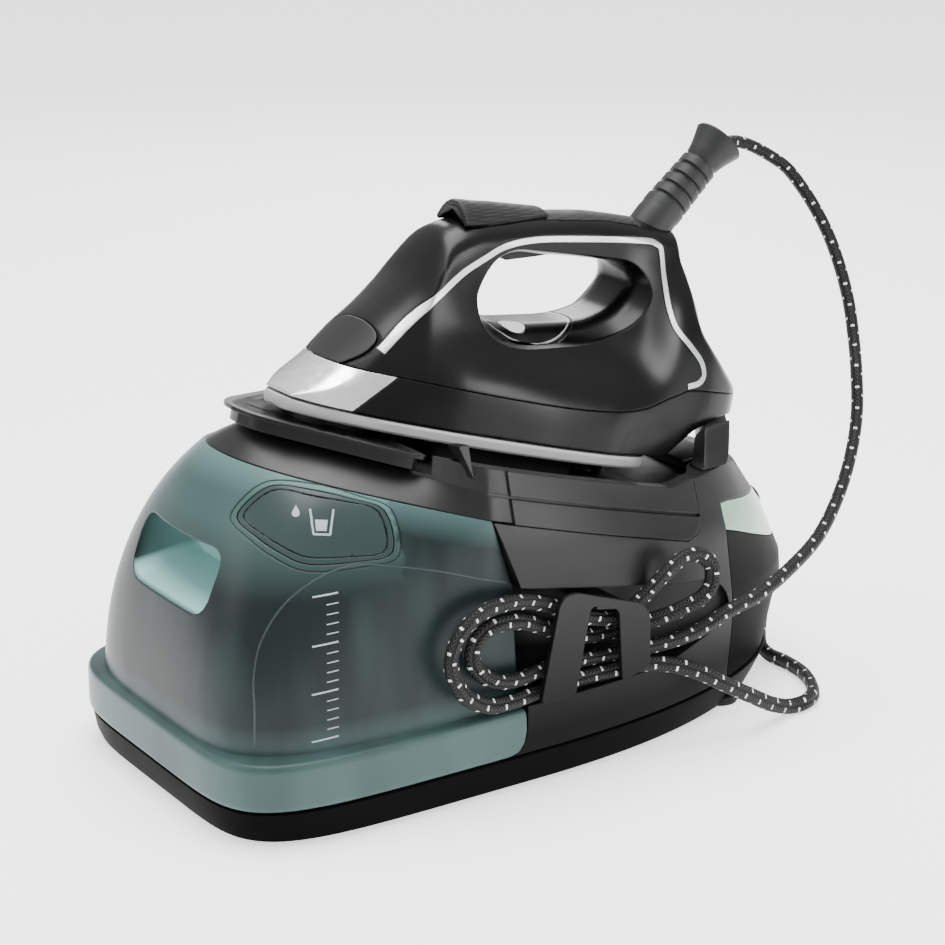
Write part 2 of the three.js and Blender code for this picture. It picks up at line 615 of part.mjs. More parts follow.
// Round tube with flat ends along a curve.
function closedTube(curve, steps, radius, sides) {
  const frames = curve.computeFrenetFrames(steps, false)
  const rings = Array.from({ length: steps + 1 }, (_, i) => {
    const centre = curve.getPointAt(i / steps)
    return Array.from({ length: sides }, (_, k) => {
      const angle = (k / sides) * 2 * Math.PI
      return centre.clone().addScaledVector(frames.normals[i], radius * Math.cos(angle))
        .addScaledVector(frames.binormals[i], radius * Math.sin(angle))
    })
  })
  return loft(rings)
}

// ---- iron ----------------------------------------------------------------------------------------------
// Own frame: y along the soleplate from its tip, z square to it.
const IRON_TOP = [
  [3, 9.5], [8, 14], [15, 21], [22, 28.5], [32, 41], [41, 53], [52, 66], [62, 80], [69, 96], [74, 105], [79, 108.5],
  [86, 112], [94, 115], [106, 118], [125, 122], [150, 127], [175, 130.5], [212, 132], [224, 131], [232, 118],
  [239, 101], [246, 88], [254, 80], [268, 69], [280, 60], [288, 52], [293, 44],
]
const IRON_UNDER = [[3, 8], [228, 8], [236, 15], [246, 24], [258, 31], [272, 35], [284, 37], [293, 41]]
// Half widths of the iron at five heights above the sole.
const WIDTH_HEIGHTS = [8, 30, 60, 90, 115]
const IRON_HALF = [
  [3, 13, 9, 7, 6, 5], [14, 26, 19, 12, 9, 8], [27, 33.5, 27, 18, 12, 10], [48, 41.5, 36.5, 26, 18, 14],
  [65, 46, 42, 32, 24, 18], [85, 50, 47, 33, 23, 20], [110, 52.5, 49.5, 33, 21, 19], [150, 55.5, 51, 32, 20, 18],
  [180, 54.5, 50.5, 32, 20, 18], [206, 49, 47, 36, 27, 19], [228, 45, 43.5, 39, 31, 18], [250, 42, 41.5, 37, 28, 15],
  [272, 34, 36, 31, 24, 12], [286, 20, 25, 22, 16, 8], [293, 6, 10, 9, 8, 4],
]
const IRON_STATIONS = [
  3, 9, 15, 22, 32, 41, 52, 62, 69, 74, 80, 92, 106, 125, 150, 180, 204, 218, 226, 234, 241, 248, 257, 269, 281, 289, 293,
]
const IRON_LEVELS = [0, 0.12, 0.26, 0.4, 0.55, 0.7, 0.82, 0.92]
const CROWN_R = 14

function ironHalf(y, z) {
  const row = pick(IRON_HALF, y)
  return pick(WIDTH_HEIGHTS.map((height, i) => [height, row[i]]), z)[0]
}

function ironRing(y, inset, low, high) {
  const under = low ?? pick(IRON_UNDER, y)[0]
  const top = Math.min(high ?? 999, pick(IRON_TOP, y)[0])
  const crown = Math.min(CROWN_R, 0.5 * (top - under))
  const side = IRON_LEVELS.map((t) => {
    const z = under + (top - under) * t
    const over = Math.max(0, (z - (top - crown)) / crown)
    return V((ironHalf(y, z) - inset) * Math.sqrt(1 - over * over), y, z)
  })
  const shoulder = V(side[side.length - 1].x * 0.6, y, under + (top - under) * 0.98)
  const near = [...side, shoulder]
  const far = near.map((p) => V(-p.x, p.y, p.z)).reverse()
  return [...near, V(0, y, top), ...far]
}

const SEAM_LINE = [[-10, 28], [20, 28.7], [60, 29.2], [150, 28.3], [200, 32], [228, 42], [246, 47], [310, 47]]
const CHROME_LINE = [[20, -5], [27.8, 8], [48.5, 29.5], [60, 42]]
const NOSE_CAP = [
  [5, 20], [23.5, 28], [29, 32.5], [33.5, 36.8], [37, 41], [39.8, 45.4], [40.8, 50], [38, 58], [26, 70], [0, 60],
]
const HANDLE_OPENING = [
  [101, 74], [102, 84], [107, 94], [118, 100.5], [140, 103], [170, 105.5], [190, 106], [198.5, 101], [199, 92],
  [190, 80], [170, 71], [145, 66], [120, 62.5], [106, 65],
]
const TRIM_LINE = [
  [39.5, 40], [50.5, 54], [62, 67.5], [80.5, 85], [96, 96], [108.5, 104], [128, 110.3], [162, 116], [198, 121],
  [207.5, 121], [213, 117], [215.5, 101], [218, 89], [223.5, 78.5], [234.5, 70.5], [244.5, 63], [248, 56],
]
const BUTTON_PLAN = [[-15, 82], [15, 82], [10.5, 136], [-10.5, 136]]
const BUTTON_SIDE = [[85, 113], [83, 119], [86, 122], [133, 126.5], [131, 125], [97, 113.5]]
const BUTTON_POCKET = [[78, 106.5], [97, 109], [132, 122.6], [135, 124], [135, 140], [60, 140], [60, 106.5]]
const TRIGGER_SIDE = [[114, 100], [118, 96], [124, 97], [147, 103.6], [147, 108], [114, 108]]
const MODE_PLACE = V(0, 130, 0)
const BOOT_BASE = V(0, 217.8, 133)
const BOOT_AXIS = V(0, 0.539, 0.842)
const BOOT_LENGTH = 60

const SCREW_AT = V(0, 276, 38.5)
const SCREW_AXIS = V(0, 0.35, -0.94)
const flat = (outline, low, high) => solid(prism(outline, 'x', low, high))

// Ribbon of the given half width along a run of points.
function ribbon(line, half) {
  const side = (sign) => line.map((p, i) => {
    const a = line[Math.max(0, i - 1)]
    const b = line[Math.min(line.length - 1, i + 1)]
    const size = Math.hypot(b[0] - a[0], b[1] - a[1])
    return [p[0] - (sign * half * (b[1] - a[1])) / size, p[1] + (sign * half * (b[0] - a[0])) / size]
  })
  return [...side(1), ...side(-1).reverse()]
}

function oval(grow, low, high, across = 28, along = 27) {
  const outline = Array.from({ length: 20 }, (_, i) => {
    const angle = (i / 20) * 2 * Math.PI
    return [MODE_PLACE.x + (across + grow) * Math.cos(angle), MODE_PLACE.y + (along + grow) * Math.sin(angle)]
  })
  return solid(prism(outline, 'z', low, high))
}

function bootSolid(grow) {
  const ribs = []
  for (let i = 0; i < 5; i++) {
    const [ridge, valley, start] = [12 + grow - i * 0.25, 9.8 + grow, 6 + i * 7.5]
    ribs.push([ridge, start], [ridge, start + 4.6], [valley, start + 5], [valley, start + 7])
  }
  const foot = [[0, -14 - grow], [11 + grow, -14 - grow], [12 + grow, 0]]
  const mouth = [[10.5, 44], [13.5, 54], [14.8, BOOT_LENGTH - 1], [13.6, BOOT_LENGTH], [0, BOOT_LENGTH]]
  const profile = [...foot, ...ribs, ...mouth]
  return solid(aimed(turned(profile, 14), BOOT_AXIS, BOOT_BASE))
}

function buildIron(group) {
  const put = (name, shape, colour) => add(name, tilted(shape), colour, group)
  const whole = solid(loft(IRON_STATIONS.map((y) => ironRing(y, 0))))
  const under = (grow) => flat([...SEAM_LINE.map(([y, z]) => [y, z + grow]), [310, -20], [-10, -20]], -90, 90)
  const ahead = (grow) => flat([...CHROME_LINE.map(([y, z]) => [y - grow, z]), [-20, 60], [-20, -20]], -90, 90)
  const cavityRing = (y) => ironRing(y, 4, 7.6, Math.min(50, pick(IRON_TOP, y)[0] - 6))
  const cavity = solid(loft([34, 48, 65, 85, 110, 150, 180, 206, 222].map(cavityRing)))
  const screwHole = solid(aimed(rod(4.6, -9, 12), SCREW_AXIS, SCREW_AT))
  const low = whole.intersect(under(-GAP / 2)).subtract(screwHole)
  put('iron_skirt', low.subtract(ahead(-GAP / 2)).subtract(cavity), 'housing')
  put('chrome_nose', low.intersect(ahead(GAP / 2)).subtract(cavity), 'chrome')

  const opening = flat(HANDLE_OPENING, -90, 90)
  const nose = flat(NOSE_CAP, -90, 90)
  const wider = (by) => solid(loft(IRON_STATIONS.map((y) => ironRing(y, -by))))
  const line = flat(ribbon(TRIM_LINE, 1.7), -90, 90)
  const bareCentre = slab(-7, 7, -20, 320, 0, 200)
  const grip = (grow) => {
    const [front, rear] = [136 - grow, 198.5 + grow]
    const under = [[front, 121.2 - grow], [175, 127.2 - grow], [rear, 128.2 - grow]]
    return flat([...under, [rear, 140], [front, 140]], -12.6 - grow, 12.6 + grow)
  }
  const button = (grow) => {
    const plan = BUTTON_PLAN.map(([x, y]) => [x + Math.sign(x) * grow, y + (y > 100 ? grow : -grow)])
    return solid(prism(plan, 'z', 80, 150))
  }
  let body = whole.subtract(under(GAP / 2))
  const noseCap = body.intersect(nose)
  const noseRoom = NOSE_CAP.map(([y, z]) => [y + (y > 8 ? 0.6 : 0), z + (z < 45 ? -0.5 : 0.5)])
  body = body.subtract(flat(noseRoom, -90, 90))
  body = body.subtract(cavity).subtract(opening)
  body = body.subtract(grip(0.35)).subtract(button(0.5).intersect(flat(BUTTON_POCKET, -60, 60)))
  body = body.subtract(slab(-8.6, 8.6, 110.5, 151, 92, 112.4))
  body = body.subtract(oval(0.4, 54.4, 78))
  body = body.subtract(bootSolid(0.4))
  body = body.subtract(screwHole)
  put('iron_body', body, 'black')
  put('nose_cap', noseCap.subtract(cavity), 'dark')
  const trim = wider(1.6).subtract(wider(0.6)).intersect(line).subtract(bareCentre)
  put('trim_left', trim.intersect(slab(-90, 0, -20, 320, 0, 200)), 'silver')
  put('trim_right', trim.intersect(slab(0, 90, -20, 320, 0, 200)), 'silver')
  put('grip_pad', whole.intersect(grip(0)), 'rubber')
  put('top_button', button(0).intersect(flat(BUTTON_SIDE, -30, 30)), 'dark')
  put('steam_trigger', flat(TRIGGER_SIDE, -8, 8), 'dark')
  const deck = whole.intersect(slab(-60, 60, 90, 175, 40, 78)).subtract(opening)
  const icon = (grow) => solid(moved(rod(7.5 + grow, 40, 80, 16), 12, 118, 0))
  const thin = (depth) => deck.subtract(deck.translate(0, 0, -depth))
  const mode = deck.intersect(oval(0, 56, 78))
  put('mode_button', mode.subtract(icon(0.6).intersect(thin(1.6))), 'black')
  put('mode_icon', mode.intersect(icon(0)).intersect(thin(0.8)), 'white')
  put('hose_boot', bootSolid(0), 'rubber')
  const screw = [[0, -8], [2, -8], [2, -3], [4.2, -3], [4.2, -0.8], [0, -0.8]]
  put('heel_screw', aimed(turned(screw, 10), SCREW_AXIS, SCREW_AT), 'steel')
  buildSole(put)
}

function soleOutline(inset) {
  const half = []
  for (const y of [0, 1, 4, 10, 20, 34, 54, 80, 112, 150]) {
    half.push([SOLE_HALF * Math.sin((Math.PI / 2) * (y / 150)) ** 0.42, y])
  }
  for (const t of [0.4, 0.65, 0.82, 0.93, 0.985, 1]) half.push([SOLE_HALF * (1 - t ** 3) ** (1 / 3), 150 + 78 * t])
  const drawnIn = ([x, y]) => {
    return y < 2 ? [x, inset] : [Math.max(0, x - inset), Math.min(y, SOLE_LENGTH - inset)]
  }
  return mirrored(half.map(drawnIn))
}

function buildSole(put) {
  const levels = [[2.2, 0], [0, 1.4], [0, SOLE_THICK - 1], [1, SOLE_THICK]]
  let plate = solid(loft(levels.map(([inset, z]) => soleOutline(inset).map(([x, y]) => V(x, y, z)))))
  const ports = [[-26, 60], [26, 60], [-36, 96], [36, 96], [-40, 132], [40, 132], [0, 30], [-14, 40], [14, 40]]
  for (const [x, y] of ports) plate = plate.subtract(solid(moved(rod(2.2, -1, 9, 8), x, y, 0)))
  put('soleplate', plate, 'soleplate')
  const heater = soleOutline(15).filter(([, y]) => y < 210)
  put('sole_heater', solid(prism(heater, 'z', SOLE_THICK + 0.4, 18)).intersect(slab(-60, 60, 36, 210, 0, 40)), 'silver')
  put('thermal_cutout', moved(rod(9, 18.4, 27), 0, 120, 0), 'steel')
  const path = new THREE.CatmullRomCurve3([V(20, 150, 18.6), V(20, 150, 30), V(20, 170, 42), V(14, 196, 45)])
  put('steam_tube', closedTube(path, 10, 3, 8), 'white')
}

// ---- steam hose --------------------------------------------------------------------------------------------
const HOSE = [
  [0, 171.5, 300.6], [0, 173.1, 302], [0.4, 179, 302.6], [2, 188.1, 299.9], [5, 197.9, 294.6], [11, 207.9, 286.7],
  [17, 213.1, 277.8], [25, 218, 265.3], [35, 221.4, 249.3], [45, 222.2, 232], [54, 221.4, 214.5], [64, 217.3, 195.9],
  [74, 211, 182], [86, 202, 160], [96, 190, 142], [106, 173, 123],
  [114, 152, 105], [117, 130, 92], [117, 108, 81], [114, 93, 75.4], [109, 72, 65], [103.5, 48.5, 60.4], [98, 21, 59.4],
  [98, -1, 60.7], [102, -21, 62.9], [105, -40, 62.2], [105.5, -52.5, 63.7], [106, -63, 69.5], [106, -69.4, 78.6],
  [106, -68.8, 86.6], [106, -62.7, 93.4], [106, -53, 95.6], [105, -40, 93.8], [101, -21.4, 85], [96, -6, 77],
  [94, 10, 71.5], [92.5, 22.5, 70], [98, 38, 72.5], [104.5, 53.6, 76.5], [109, 65, 81], [112, 72, 85], [113, 77.4, 90],
  [112, 80, 96], [111, 79.4, 103], [110, 71.4, 109.4], [109.5, 60, 108.7], [108, 49.5, 101], [104, 39.5, 90],
  [101.5, 26, 82], [101.5, 8, 84.5], [101.6, -10, 92.5], [103.4, -23.7, 99.5], [106, -40.7, 105], [108, -56.7, 106.4],
  [109, -70.5, 103.4], [109.5, -81, 94.3], [109.5, -85, 83.2], [109.5, -82, 71.3], [109, -74, 60.8], [108, -61.7, 53.6],
  [106, -46.6, 51.4], [103, -29.5, 51.3], [101, -12.2, 51.3], [101, 18.4, 51.5], [103.6, 42, 51.7], [109, 58, 49],
  [113, 72, 43], [115, 87, 34], [114, 107, 22], [111, 126, 11], [108, 142, 4.8], [107.5, 153, 4.4], [101.2, 165, 4.4],
  [88.4, 174.7, 4.4], [73, 181.3, 4.4], [56, 183.5, 4.4], [42, 182.6, 4.8], [33, 184.5, 7], [25, 190, 13],
  [17, 197.5, 22], [11, 199.5, 27.5], [6.2, 197.1, 28.4],
]
const HOSE_STEPS = 80
const HOSE_SIDES = 8

function buildHose(group) {
  const curve = new THREE.CatmullRomCurve3(HOSE.map(([x, y, z]) => V(x, y, z)), false, 'centripetal')
  const section = new THREE.Shape(Array.from({ length: HOSE_SIDES }, (_, i) => {
    const angle = (i / HOSE_SIDES) * 2 * Math.PI
    return new THREE.Vector2((HOSE_D / 2) * Math.cos(angle), (HOSE_D / 2) * Math.sin(angle))
  }))
  add('steam_hose', new THREE.ExtrudeGeometry(section, { steps: HOSE_STEPS, extrudePath: curve, bevelEnabled: false }), 'hose', group)
}

buildTray()
const { outer } = buildHousing(object)
buildRest(outer, object)
buildRearButtons(object)
buildClip(object)
buildHoop(object)
buildInsides(object)
buildTank(object)
buildIron(object)
buildHose(object)

export default object
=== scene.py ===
"""Visual model of a steam generator iron: base with a pull-out water tank, the iron that stands on
it and the textile-covered steam hose between the two. Shapes are worked out in millimetres and
made in metres. +Z is up, -Y is the front with the tank, +X is the side with the hose clip."""

import math

import bmesh
import bpy
import numpy as np
from mathutils import Matrix, Vector
from mathutils.bvhtree import BVHTree


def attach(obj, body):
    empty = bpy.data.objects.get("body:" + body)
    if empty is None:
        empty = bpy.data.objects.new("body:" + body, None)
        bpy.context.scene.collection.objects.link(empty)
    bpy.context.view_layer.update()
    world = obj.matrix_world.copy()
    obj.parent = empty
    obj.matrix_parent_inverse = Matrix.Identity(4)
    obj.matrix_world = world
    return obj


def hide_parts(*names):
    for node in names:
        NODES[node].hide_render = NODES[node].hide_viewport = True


MM = 0.001

# ---- driving dimensions (mm): the CAD's, apart from TANK_END_Y, the gaps and the hose's section ----
TILT = math.radians(16)  # the iron and everything that carries it lean nose up by this
FRONT_Y, REAR_Y, WIDE_Y = -200.5, 201.5, -28.5  # the plan is widest at WIDE_Y
BASE_HALF = 107.5
SEAT_Z, LEDGE_Z = 20.0, 45.0  # top of the tray, and of the tank's skirt
TANK_END_Y, NECK_END_Y = -33.0, -41.0  # where the tank's wall and the rest's neck end
SEAM_Y = 115.0
SOLE_TIP = (0.0, -123.4, 196.8)
SOLE_LENGTH, SOLE_HALF, SOLE_THICK = 228.0, 57.0, 6.5
REST_DROP, EDGE_DROP, FLOOR_DROP = 27.0, 2.0, 12.0  # below the sole plane, square to it
GROOVE_DROP = 14.5
HOOP_SEAT_Z = 137.4
GAP = 0.5

# Centre of the hose, from the iron's boot to the gland. It is listed here and is the same in the CAD.
HOSE = [
    (0, 171.5, 300.6), (0, 173.1, 302), (0.4, 179, 302.6), (2, 188.1, 299.9), (5, 197.9, 294.6),
    (11, 207.9, 286.7), (17, 213.1, 277.8), (25, 218, 265.3), (35, 221.4, 249.3), (45, 222.2, 232),
    (54, 221.4, 214.5), (64, 217.3, 195.9), (74, 211, 182), (86, 202, 160), (96, 190, 142),
    (106, 173, 123), (114, 152, 105), (117, 130, 92), (117, 108, 81), (114, 93, 75.4), (109, 72, 65),
    (103.5, 48.5, 60.4), (98, 21, 59.4), (98, -1, 60.7), (102, -21, 62.9), (105, -40, 62.2),
    (105.5, -52.5, 63.7), (106, -63, 69.5), (106, -69.4, 78.6), (106, -68.8, 86.6), (106, -62.7, 93.4),
    (106, -53, 95.6), (105, -40, 93.8), (101, -21.4, 85), (96, -6, 77), (94, 10, 71.5),
    (92.5, 22.5, 70), (98, 38, 72.5), (104.5, 53.6, 76.5), (109, 65, 81), (112, 72, 85),
    (113, 77.4, 90), (112, 80, 96), (111, 79.4, 103), (110, 71.4, 109.4), (109.5, 60, 108.7),
    (108, 49.5, 101), (104, 39.5, 90), (101.5, 26, 82), (101.5, 8, 84.5), (101.6, -10, 92.5),
    (103.4, -23.7, 99.5), (106, -40.7, 105), (108, -56.7, 106.4), (109, -70.5, 103.4),
    (109.5, -81, 94.3), (109.5, -85, 83.2), (109.5, -82, 71.3), (109, -74, 60.8), (108, -61.7, 53.6),
    (106, -46.6, 51.4), (103, -29.5, 51.3), (101, -12.2, 51.3), (101, 18.4, 51.5), (103.6, 42, 51.7),
    (109, 58, 49), (113, 72, 43), (115, 87, 34), (114, 107, 22), (111, 126, 11), (108, 142, 4.8),
    (107.5, 153, 4.4), (101.2, 165, 4.4), (88.4, 174.7, 4.4), (73, 181.3, 4.4), (56, 183.5, 4.4),
    (42, 182.6, 4.8), (33, 184.5, 7), (25, 190, 13), (17, 197.5, 22), (11, 199.5, 27.5),
    (6.2, 197.1, 28.4),
]
HOSE_WIDTH, HOSE_THICK = 9.2, 7.4
PLAITS, PLAIT_RATE, FLECK_RATE = 6.0, 430.0, 80.0  # strands around, then folds and flecks a metre

# ---- view (m) ----
CAMERA_TARGET = (-0.0257, 0.0183, 0.1282)
CAMERA_PLACE = (1.0683, -0.7127, 0.5511)
CAMERA_LENS = 94.13
FLOOR_GLOW = 1.2  # a little light of the floor's own keeps it pale

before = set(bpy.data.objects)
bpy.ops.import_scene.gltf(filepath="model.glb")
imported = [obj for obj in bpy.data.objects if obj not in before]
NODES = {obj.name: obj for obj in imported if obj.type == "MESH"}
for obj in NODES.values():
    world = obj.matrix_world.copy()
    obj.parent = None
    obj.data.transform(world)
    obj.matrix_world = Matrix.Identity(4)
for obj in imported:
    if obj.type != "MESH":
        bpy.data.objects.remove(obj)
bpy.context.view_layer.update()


# ---- camera, floor and light ----------------------------------------
def linked(name, data):
    """A new object in the scene around the given mesh, light or camera."""
    made = bpy.data.objects.new(name, data)
    bpy.context.scene.collection.objects.link(made)
    return made


def looking(obj, place, target):
    obj.location = place
    aim = Vector(target) - Vector(place)
    obj.rotation_euler = aim.to_track_quat("-Z", "Y").to_euler()
    return obj


def make_camera():
    data = bpy.data.cameras.new("camera")
    data.lens = CAMERA_LENS
    data.sensor_width = 36
    bpy.context.scene.camera = looking(linked("camera", data), CAMERA_PLACE, CAMERA_TARGET)


def area_light(name, place, target, size, size_y, power):
    data = bpy.data.lights.new(name, "AREA")
    data.shape = "RECTANGLE"
    data.size = size
    data.size_y = size_y
    data.energy = power
    looking(linked(name, data), place, target)


def make_studio():
    """Even world light that grows towards the top, four softboxes and the pale floor."""
    world = bpy.data.worlds.new("studio")
    bpy.context.scene.world = world
    world.use_nodes = True
    tree = world.node_tree
    back = tree.nodes["Background"]
    coords = tree.nodes.new("ShaderNodeTexCoord")
    split = tree.nodes.new("ShaderNodeSeparateXYZ")
    height = tree.nodes.new("ShaderNodeMapRange")
    for key, value in (("From Min", -0.1), ("From Max", 0.9), ("To Min", 0.25), ("To Max", 1.5)):
        height.inputs[key].default_value = value
    tree.links.new(coords.outputs["Generated"], split.inputs[0])
    tree.links.new(split.outputs["Z"], height.inputs["Value"])
    tree.links.new(height.outputs["Result"], back.inputs["Strength"])
    back.inputs["Color"].default_value = (1, 1, 1, 1)
    middle = (0, 0, 0.12)
    area_light("softbox_top", (-0.1, 0.0, 1.6), middle, 1.1, 1.1, 44)
    area_light("softbox_near", (1.45, 0.95, 0.55), (0.1, 0, 0.12), 0.5, 0.5, 13)
    area_light("softbox_front", (-0.5, -1.7, 0.9), middle, 0.5, 0.9, 8)
    area_light("softbox_back", (-1.4, 0.9, 1.0), middle, 0.6, 0.9, 12)
    bpy.ops.mesh.primitive_plane_add(size=12, location=(0, 0, -0.0002))
    floor = bpy.context.object
    floor.name = "floor"
    floor.data.materials.append(floor_material())


# ---- materials ----------------------------------------
class Shader:
    """A node material under construction, around one Principled shader."""

    def __init__(self, name, colour, roughness, metallic=0.0, **inputs):
        self.material = bpy.data.materials.new(name)
        self.material.use_nodes = True
        self.tree = self.material.node_tree
        self.main = self.tree.nodes["Principled BSDF"]
        self.set("Base Color", (*colour, 1))
        self.set("Roughness", roughness)
        self.set("Metallic", metallic)
        for key, value in inputs.items():
            self.set(key.replace("_", " "), value)
        self.coords = self.node("ShaderNodeTexCoord")

    def set(self, key, value):
        self.main.inputs[key].default_value = value

    def node(self, kind, inputs=(), **settings):
        made = self.tree.nodes.new(kind)
        for key, value in settings.items():
            setattr(made, key, value)
        for key, value in inputs:
            made.inputs[key].default_value = value
        return made

    def link(self, source, target):
        self.tree.links.new(source, target)

    def noise(self, scale, detail=2.0, stretch=(1, 1, 1)):
        mapping = self.node("ShaderNodeMapping", [("Scale", stretch)])
        self.link(self.coords.outputs["Object"], mapping.inputs["Vector"])
        noise = self.node("ShaderNodeTexNoise", [("Scale", scale), ("Detail", detail)])
        self.link(mapping.outputs["Vector"], noise.inputs["Vector"])
        return noise.outputs["Fac"]

    def ramp(self, source, low, high, values):
        """Maps low to high onto the two values, and holds them outside."""
        spread = self.node(
            "ShaderNodeMapRange",
            [("From Min", low), ("From Max", high), ("To Min", values[0]), ("To Max", values[1])],
        )
        self.link(source, spread.inputs["Value"])
        return spread.outputs["Result"]

    def mix(self, factor, first, second):
        """Blend of two colours, where the first may be another node's output."""
        mix = self.node("ShaderNodeMix", [(7, (*second, 1))], data_type="RGBA")
        self.link(factor, mix.inputs[0])
        if isinstance(first, tuple):
            mix.inputs[6].default_value = (*first, 1)
        else:
            self.link(first, mix.inputs[6])
        return mix.outputs[2]

    def maths(self, operation, first, second):
        made = self.node("ShaderNodeMath", operation=operation)
        for socket, value in zip(made.inputs, (first, second)):
            if isinstance(value, (int, float)):
                socket.default_value = value
            else:
                self.link(value, socket)
        return made.outputs[0]

    def times(self, first, second):
        return self.maths("MULTIPLY", first, second)

    def colour(self, source):
        self.link(source, self.main.inputs["Base Color"])

    def roughness(self, source):
        self.link(source, self.main.inputs["Roughness"])

    def bump(self, height, distance, strength=1.0, round_edges=0.0):
        bump = self.node("ShaderNodeBump", [("Distance", distance), ("Strength", strength)])
        self.link(height, bump.inputs["Height"])
        if round_edges:
            bevel = self.node("ShaderNodeBevel", [("Radius", round_edges)], samples=4)
            self.link(bevel.outputs["Normal"], bump.inputs["Normal"])
        self.link(bump.outputs["Normal"], self.main.inputs["Normal"])


def moulded(
    name, colour, roughness, grain=900, depth=0.00002, edge=0.0007, vary=0.06, gloss=0.5, shade_low_sides=False
):
    """Injection-moulded plastic: spark-eroded grain, uneven gloss, softened edges, and optionally painted
    shade low down.
    """
    shader = Shader(name, colour, roughness)
    shader.set("Specular IOR Level", gloss)
    broad = shader.noise(14, 3)
    shader.roughness(shader.ramp(broad, 0.3, 0.7, (roughness - vary, roughness + vary)))
    light = tuple(min(1, c * 1.25) for c in colour)
    shader.colour(shader.mix(shader.ramp(broad, 0.25, 0.75, (0, 1)), colour, light))
    shader.bump(shader.noise(grain, 2), depth, 0.6, edge)
    # Painted shade: the reflection is weaker low down, so the lower sides read as shaded.
    if shade_low_sides:
        place = shader.node("ShaderNodeSeparateXYZ")
        shader.link(shader.coords.outputs["Object"], place.inputs[0])
        sheen = shader.ramp(place.outputs["Z"], 0.03, 0.14, (gloss * 0.12, gloss))
        shader.link(sheen, shader.main.inputs["Specular IOR Level"])
    return shader.material


def brushed(name, colour, roughness, stretch, edge=0.0005, metallic=1.0):
    """Metal with fine scratches along one direction."""
    shader = Shader(name, colour, roughness, metallic)
    scratches = shader.noise(220, 3, stretch)
    shader.roughness(shader.ramp(scratches, 0.3, 0.7, (roughness - 0.08, roughness + 0.12)))
    shader.bump(scratches, 0.00002, 0.5, edge)
    return shader.material


def floor_material():
    shader = Shader("floor_paint", (0.93, 0.93, 0.93), 0.8, Specular_IOR_Level=0.0)
    shader.set("Emission Color", (1, 1, 1, 1))
    shader.set("Emission Strength", FLOOR_GLOW)
    shader.roughness(shader.ramp(shader.noise(30), 0.3, 0.7, (0.62, 0.75)))
    return shader.material


def braid_material():
    """Black textile braid with pale flecks: u runs along the hose in metres, v once around it."""
    shader = Shader("hose_braid", (0.004, 0.004, 0.004), 0.6, Specular_IOR_Level=0.25)
    split = shader.node("ShaderNodeSeparateXYZ")
    shader.link(shader.coords.outputs["UV"], split.inputs[0])
    along = split.outputs["X"]
    turns = shader.times(split.outputs["Y"], PLAITS)
    band = shader.maths("FRACT", turns, 0.0)
    fold = shader.maths("ABSOLUTE", shader.maths("SUBTRACT", band, 0.5), 0.0)
    climb = shader.times(along, PLAIT_RATE)
    slant = shader.maths("ADD", climb, shader.times(fold, 2.4))
    weave = shader.maths("SINE", shader.times(slant, 2 * math.pi), 0.0)
    crown = shader.ramp(fold, 0.5, 0.2, (0, 1))
    thread = shader.times(shader.ramp(weave, -0.5, 0.9, (0, 1)), crown)
    shift = shader.times(shader.maths("SUBTRACT", turns, band), 0.37)
    count = shader.times(along, FLECK_RATE)
    step = shader.maths("FRACT", shader.maths("ADD", count, shift), 0.0)
    in_row = shader.maths("LESS_THAN", fold, 0.3)
    marks = shader.times(shader.maths("LESS_THAN", step, 0.1), in_row)
    base = shader.mix(thread, (0.0006, 0.0006, 0.0006), (0.03, 0.03, 0.031))
    shader.colour(shader.mix(marks, base, (0.75, 0.75, 0.74)))
    shader.bump(shader.maths("ADD", thread, crown), 0.0006, 0.9)
    return shader.material


def tank_material():
    """Frosted teal plastic, paler at the skirt, the rim and the recess as painted light, with a painted
    reflection high at the front.
    """
    shader = Shader("tank_frosted", (0.03, 0.06, 0.06), 0.32)
    shader.set("Specular IOR Level", 0.2)
    place = shader.node("ShaderNodeSeparateXYZ")
    shader.link(shader.coords.outputs["Object"], place.inputs[0])
    cloud = shader.noise(9, 2)
    # Painted light: paler towards the bottom of the skirt.
    low = shader.ramp(place.outputs["Z"], 0.040, 0.060, (0.13, 0))
    mist = shader.ramp(shader.noise(26, 2, (1, 1, 0.22)), 0.35, 0.65, (-0.025, 0.03))
    pale = shader.maths("ADD", low, mist)
    # The pale attribute holds painted light at the rim and in the recess, and a painted reflection high at
    # the front.
    attribute = shader.node("ShaderNodeAttribute", attribute_name="pale")
    pale = shader.maths("MAXIMUM", pale, attribute.outputs["Fac"])
    shader.colour(shader.mix(pale, (0.0065, 0.0108, 0.0112), (0.26, 0.5, 0.48)))
    shader.roughness(shader.ramp(cloud, 0.3, 0.7, (0.3, 0.42)))
    shader.bump(shader.noise(700, 2), 0.00002, 0.5, 0.0012)
    return shader.material


